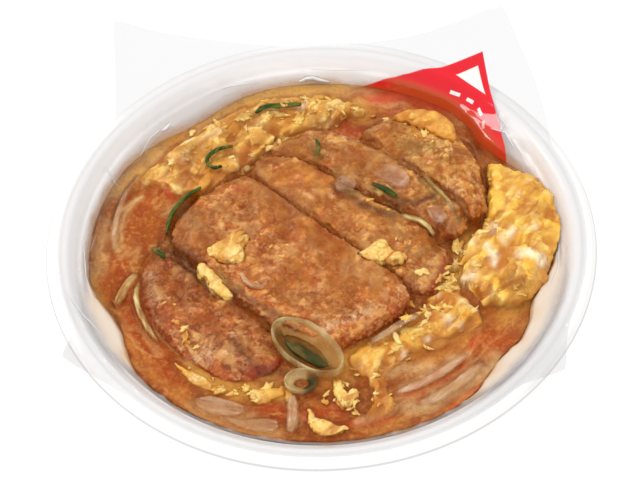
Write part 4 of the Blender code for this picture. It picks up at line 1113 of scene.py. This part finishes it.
def make_torn_egg(food_tree, material):
    """Many torn flakes of egg on the sauce and round the larger pieces, in one mesh."""
    chance = random.Random(5)
    spots = np.array(scatter(EGG_SCATTER, 11))
    heights = np.maximum(heights_under(food_tree, spots), sauce_level(spots[:, 1]) + 0.1)
    angles = 2.0 * math.pi * np.arange(FLAKE_SIDES) / FLAKE_SIDES
    points, faces, tones = [], [], []
    for (x, y), z in zip(spots, heights):
        length = chance.uniform(0.6, 1.3) * chance.choice((1.0, 1.0, 1.5, 2.2, 3.0))
        turn, bend = chance.uniform(0.0, math.pi), chance.uniform(-0.3, 0.3)
        first = len(points)
        tones += [chance.random()] * FLAKE_SIDES * len(FLAKE_LAYERS)
        lobe = hashed(np.array([(i // 2, first, 0) for i in range(FLAKE_SIDES)]), 3)
        tip = hashed(np.array([(i, first, 2) for i in range(FLAKE_SIDES)]), 3)
        uneven = 0.25 * hashed(np.array([(i, first, 1) for i in range(FLAKE_SIDES)]), 4)
        for thickness, shrink in FLAKE_LAYERS:
            reach = length * shrink * (0.2 + 0.7 * lobe ** 1.5 + 0.75 * tip ** 1.5)
            u, v = reach * np.cos(angles), 0.5 * reach * np.sin(angles)
            points += zip(x + u * math.cos(turn) - v * math.sin(turn),
                          y + u * math.sin(turn) + v * math.cos(turn),
                          z + thickness + bend * u * u / length + uneven)
        for a, b, c, d in ring_faces(len(FLAKE_LAYERS), FLAKE_SIDES):
            faces.append((first + a, first + d, first + c, first + b))
        faces.append(tuple(range(first, first + FLAKE_SIDES)))
        faces.append(tuple(reversed(range(len(points) - FLAKE_SIDES, len(points)))))
    torn = new_mesh("torn_egg", points, faces)
    none = np.zeros(len(points))
    store(torn, height=0.5 + none, tone=0.95 * np.array(tones), white=none, sauced=none)
    return finish_piece(torn, material, "egg")


# Onion, leek and scallion

# Each look's deep and pale colour, and the colour of the sauce's stain
ONION_TONES = {
    "onion": ((222, 172, 118), (255, 238, 208), (222, 164, 104)),
    "onion_yellow": ((206, 172, 84), (250, 234, 168), (200, 150, 70)),
    "onion_pink": ((222, 170, 122), (250, 228, 204), (212, 146, 86)),
}
# Ellipses of the leek's ring and collar: centre, half axes, turn, size of wall, and how high it lies at its
# middle, at its long end and at its far side
LEEK_RINGS = {
    "leek_ring": ((-5.6, -43.8), (13.8, 6.2), -40.0, 1.0, (1.2, -0.6, 2.2)),
    "leek_collar": ((-8.0, -55.5), (5.2, 4.0), 10.0, 0.6, (-1.6, -0.4, 0.6)),
}
# The wall cut across: outward and upward from its middle, with the thin skin that slopes inside it
LEEK_WALL = [
    (0.45, -1.7), (0.55, -0.6), (0.5, 0.6), (0.35, 1.4), (0.1, 1.6), (-0.2, 1.4), (-0.4, 0.6), (-1.2, -0.4),
    (-2.6, -1.5), (-4.4, -2.4), (-4.5, -2.7), (-2.6, -1.9), (-1.2, -1.0), (-0.4, -0.7), (-0.3, -1.3),
    (0.0, -1.85),
]
LEEK_SKIN = (7, 13)
RING_SEGMENTS = 160


def onion_material(name, deep, pale, stain):
    """Simmered onion: see-through, striped along its length and stained by sauce."""
    material, tree = new_material(name, Roughness=0.16, IOR=1.36)
    stripes = stored(tree, "stripe")
    stained = (noise_node(tree, 6.0, offset=7.0), 0.6, stain, 0.35, 0.65)
    color = layered(tree, deep, [(stripes, 1.0, pale), stained])
    cover = times(tree, ranged(tree, stripes, 0.0, 1.0, 0.5, 1.0), stored(tree, "body"))
    return finish_material(material, color, stripes, 0.3, 0.6, cover)


def scallion_material():
    """Cooked scallion: dark green with lighter veins, brownish in patches."""
    material, tree = new_material("scallion_green", Roughness=0.3, IOR=1.3)
    veins = ranged(tree, stored(tree, "stripe"), 0.35, 0.9)
    veil = (noise_node(tree, 3.0, offset=4.0), 0.6, (150, 112, 52), 0.52, 0.66)
    color = layered(tree, (40, 58, 6), [(veins, 1.0, (92, 112, 28)), veil])
    return finish_material(material, color, veins, 0.25, 0.6)


def leek_material():
    """Cooked leek: pale and see-through, with a brownish skin and a dark green part."""
    material, tree = new_material("leek_pale", Roughness=0.14, IOR=1.42)
    streaks = ranged(tree, noise_node(tree, 6.0, 2.0), 0.35, 0.65)
    color = layered(tree, (204, 166, 98), [
        (streaks, 1.0, (234, 212, 154)),
        ("skin", 0.8, (206, 140, 62)),
        ("inner", 1.0, (48, 60, 24)),
    ])
    cover = times(tree, ranged(tree, streaks, 0.0, 1.0, 0.45, 0.8), stored(tree, "body"))
    return finish_material(material, color, streaks, 0.1, 0.3, cover)


def leaf_material():
    """The leek's inner leaf: dark green and greyish olive in stripes, slightly see-through."""
    material, tree = new_material("leek_leaf", Roughness=0.35, IOR=1.3, Alpha=0.95)
    color = layered(tree, (36, 44, 4), [
        ("stripe", 1.0, (108, 88, 34), 0.3, 0.8),
        (noise_node(tree, 5.0), 0.7, (44, 52, 6), 0.45, 0.6),
    ])
    return finish_material(material, color, stored(tree, "stripe"), 0.2, 0.4)


def make_small(node, material, slot, roughen, soften=6, cover=1.0):
    """A small piece, slightly uneven, striped along its length and fading towards its sides and ends."""
    piece, points, normal = remeshed(node, SMALL_GRID, soften)
    seed = len(node)
    uneven = roughen * fractal(points, 2.5, seed)
    centred = points[:, :2] - points[:, :2].mean(axis=0)
    lengthwise = centred @ np.linalg.eigh(centred.T @ centred)[1]
    stretched = np.column_stack([lengthwise / [0.8, 5.0], 0.2 * points[:, 2]])
    stripe = 0.5 + 0.7 * fractal(stretched, 1.0, seed)
    facing_up = smooth_step(np.abs(normal[:, 2]), 0.45, 0.95)
    body = (0.1 + 0.9 * facing_up) * (0.8 + 0.5 * noise(points, 5.0, seed + 9)) * cover
    reach = np.abs(lengthwise / np.abs(lengthwise).max(axis=0)) + 0.15 * noise(points, 2.2, seed + 5)[:, None]
    body *= 1.0 - 0.75 * smooth_step(reach.max(axis=1), 0.65, 1.0)
    place(piece, points + normal * uneven[:, None])
    store(piece, stripe=stripe, body=body)
    return finish_piece(piece, material, slot, node)


def make_leek_ring(node, material):
    """A leek's cut ring: its wall swept smoothly round an ellipse, green on one side."""
    (x, y), (long, short), turn, size, (middle, at_end, at_far_side) = LEEK_RINGS[node]
    angles = np.linspace(0.0, 2.0 * math.pi, RING_SEGMENTS, endpoint=False)
    turn = math.radians(turn)
    axes = np.array([[math.cos(turn), math.sin(turn)], [-math.sin(turn), math.cos(turn)]])
    outward = np.column_stack([np.cos(angles) / long, np.sin(angles) / short])
    outward /= np.linalg.norm(outward, axis=1)[:, None]
    plan = np.column_stack([long * np.cos(angles), short * np.sin(angles)])
    height = middle + at_end * np.cos(angles) + at_far_side * np.sin(angles)
    points = np.vstack([
        np.column_stack([(plan + outward * size * out) @ axes + [x, y], height + size * up])
        for out, up in LEEK_WALL
    ])
    points += 0.15 * noise(points, 5.0, 71)[:, None]
    sides = len(LEEK_WALL)
    count = len(points)
    faces = [tuple(i % count for i in face) for face in ring_faces(sides + 1, RING_SEGMENTS)]
    ring = new_mesh(node + "_fine", points, faces)
    skin = np.zeros(sides)
    skin[LEEK_SKIN[0]:LEEK_SKIN[1]] = 1.0
    skin = np.repeat(skin, RING_SEGMENTS)
    if node == "leek_collar":
        green = np.tile(smooth_step(np.cos(angles + 0.3), 0.1, 0.6), sides) * np.maximum(skin, 0.9)
        faint = 0.7 + 0.5 * noise(points, 4.0, 74)
        store(ring, inner=green, skin=0.15 * skin, body=np.maximum(faint, 0.9 * green))
    else:
        green = np.tile(smooth_step(-np.sin(angles), -0.3, 0.4), sides) * skin
        faded = np.tile(smooth_step(np.cos(angles), 0.3, 1.0), sides)
        body = (0.8 - 0.15 * skin + 0.25 * green) * (1.0 - 0.4 * faded)
        store(ring, inner=0.6 * green, skin=skin, body=body * (0.85 + 0.4 * noise(points, 5.0, 73)))
    return finish_piece(ring, material, "leek_pale", node)


def make_leeks():
    """The leek's ring and collar, and the dark leaf in the ring."""
    pale = leek_material()
    leaf = make_small("leek_leaf", leaf_material(), "scallion_green", 0.15)
    return [*(make_leek_ring(node, pale) for node in LEEK_RINGS), leaf]


# Room

def make_camera():
    """The camera at the photograph's angle and distance."""
    tilt = math.radians(TILT)
    roll = math.radians(ROLL)
    back = Vector((0.0, -math.cos(tilt), math.sin(tilt)))
    level = Vector((1.0, 0.0, 0.0))
    over = back.cross(level)
    right = math.cos(roll) * level + math.sin(roll) * over
    up = -math.sin(roll) * level + math.cos(roll) * over
    eye = (Vector(CAMERA_TARGET) + back * CAMERA_DISTANCE) * MM
    data = bpy.data.cameras.new("camera")
    data.sensor_width = SENSOR
    data.lens = FOCAL_PIXELS / IMAGE_WIDTH * SENSOR
    camera = new_object("camera", data)
    camera.matrix_world = Matrix.Translation(eye) @ Matrix((right, up, back)).transposed().to_4x4()
    bpy.context.scene.camera = camera


def make_light(name, location, energy, size):
    """A square soft light that points at the dish."""
    data = bpy.data.lights.new(name, "AREA")
    data.energy = energy
    data.size = size
    light = new_object(name, data)
    light.location = location
    light.rotation_euler = (Vector(LIGHT_TARGET) - light.location).to_track_quat("-Z", "Y").to_euler()


def make_room():
    """A plain white floor, even light from all round, and soft lights above."""
    world = bpy.data.worlds.new("room")
    bpy.context.scene.world = world
    world.use_nodes = True
    background = world.node_tree.nodes["Background"]
    background.inputs["Color"].default_value = WHITE
    background.inputs["Strength"].default_value = EVEN_LIGHT
    for light in LIGHTS:
        make_light(*light)
    corners = [(x * FLOOR_REACH, y * FLOOR_REACH, -LIP) for x, y in ((-1, -1), (1, -1), (1, 1), (-1, 1))]
    floor = new_mesh("floor", corners, [(0, 1, 2, 3)])
    material = new_material("floor", Roughness=0.9, Base_Color=FLOOR_TONE, Emission_Color=WHITE,
                            Emission_Strength=FLOOR_GLOW)[0]
    floor.data.materials.append(material)
    bpy.context.scene.view_settings.view_transform = "Standard"


def main():
    """Builds the room and every piece."""
    make_camera()
    make_room()
    bowl = make_bowl()
    film = make_film(tree_of([bowl]))
    make_crease_highlights(tree_of([film]))
    looks = {name: egg_material(name, *tones) for name, tones in EGG_TONES.items()}
    looks.update({name: onion_material(name, *tones) for name, tones in ONION_TONES.items()})
    green = scallion_material()
    food = {"cutlet": [make_slice(node, 100 * k) for k, node in enumerate(SLICES, 1)]}
    food["egg"] = [make_egg(node, 300 + 20 * k, 1.0, looks[look], 0.5, muddy, clears)
                   for k, (node, (look, muddy, clears)) in enumerate(EGGS.items())]
    food["torn"] = [make_egg(node, 400 + 20 * k, 0.4, looks["torn_egg"], 1.1, 0.0, 0.4)
                    for k, node in enumerate(EGG_BITS)]
    food["torn"].append(make_egg("egg_on_slice_5", 540, 0.4, looks["egg_orange"], 0.4, 0.3, 0.4))
    food["onion"] = [make_small(node, looks[ONION_LOOKS.get(node, "onion")], "onion", 0.3, 12,
                                ONION_COVER.get(node, 1.0)) for node in ONIONS]
    food["green"] = [make_small(node, green, "scallion_green", 0.15) for node in SCALLIONS] + make_leeks()
    food["flakes"] = [make_torn_egg(tree_of_food(food), looks["torn_egg"])]
    make_sauce(tree_of([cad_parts["film"]]), food)


main()
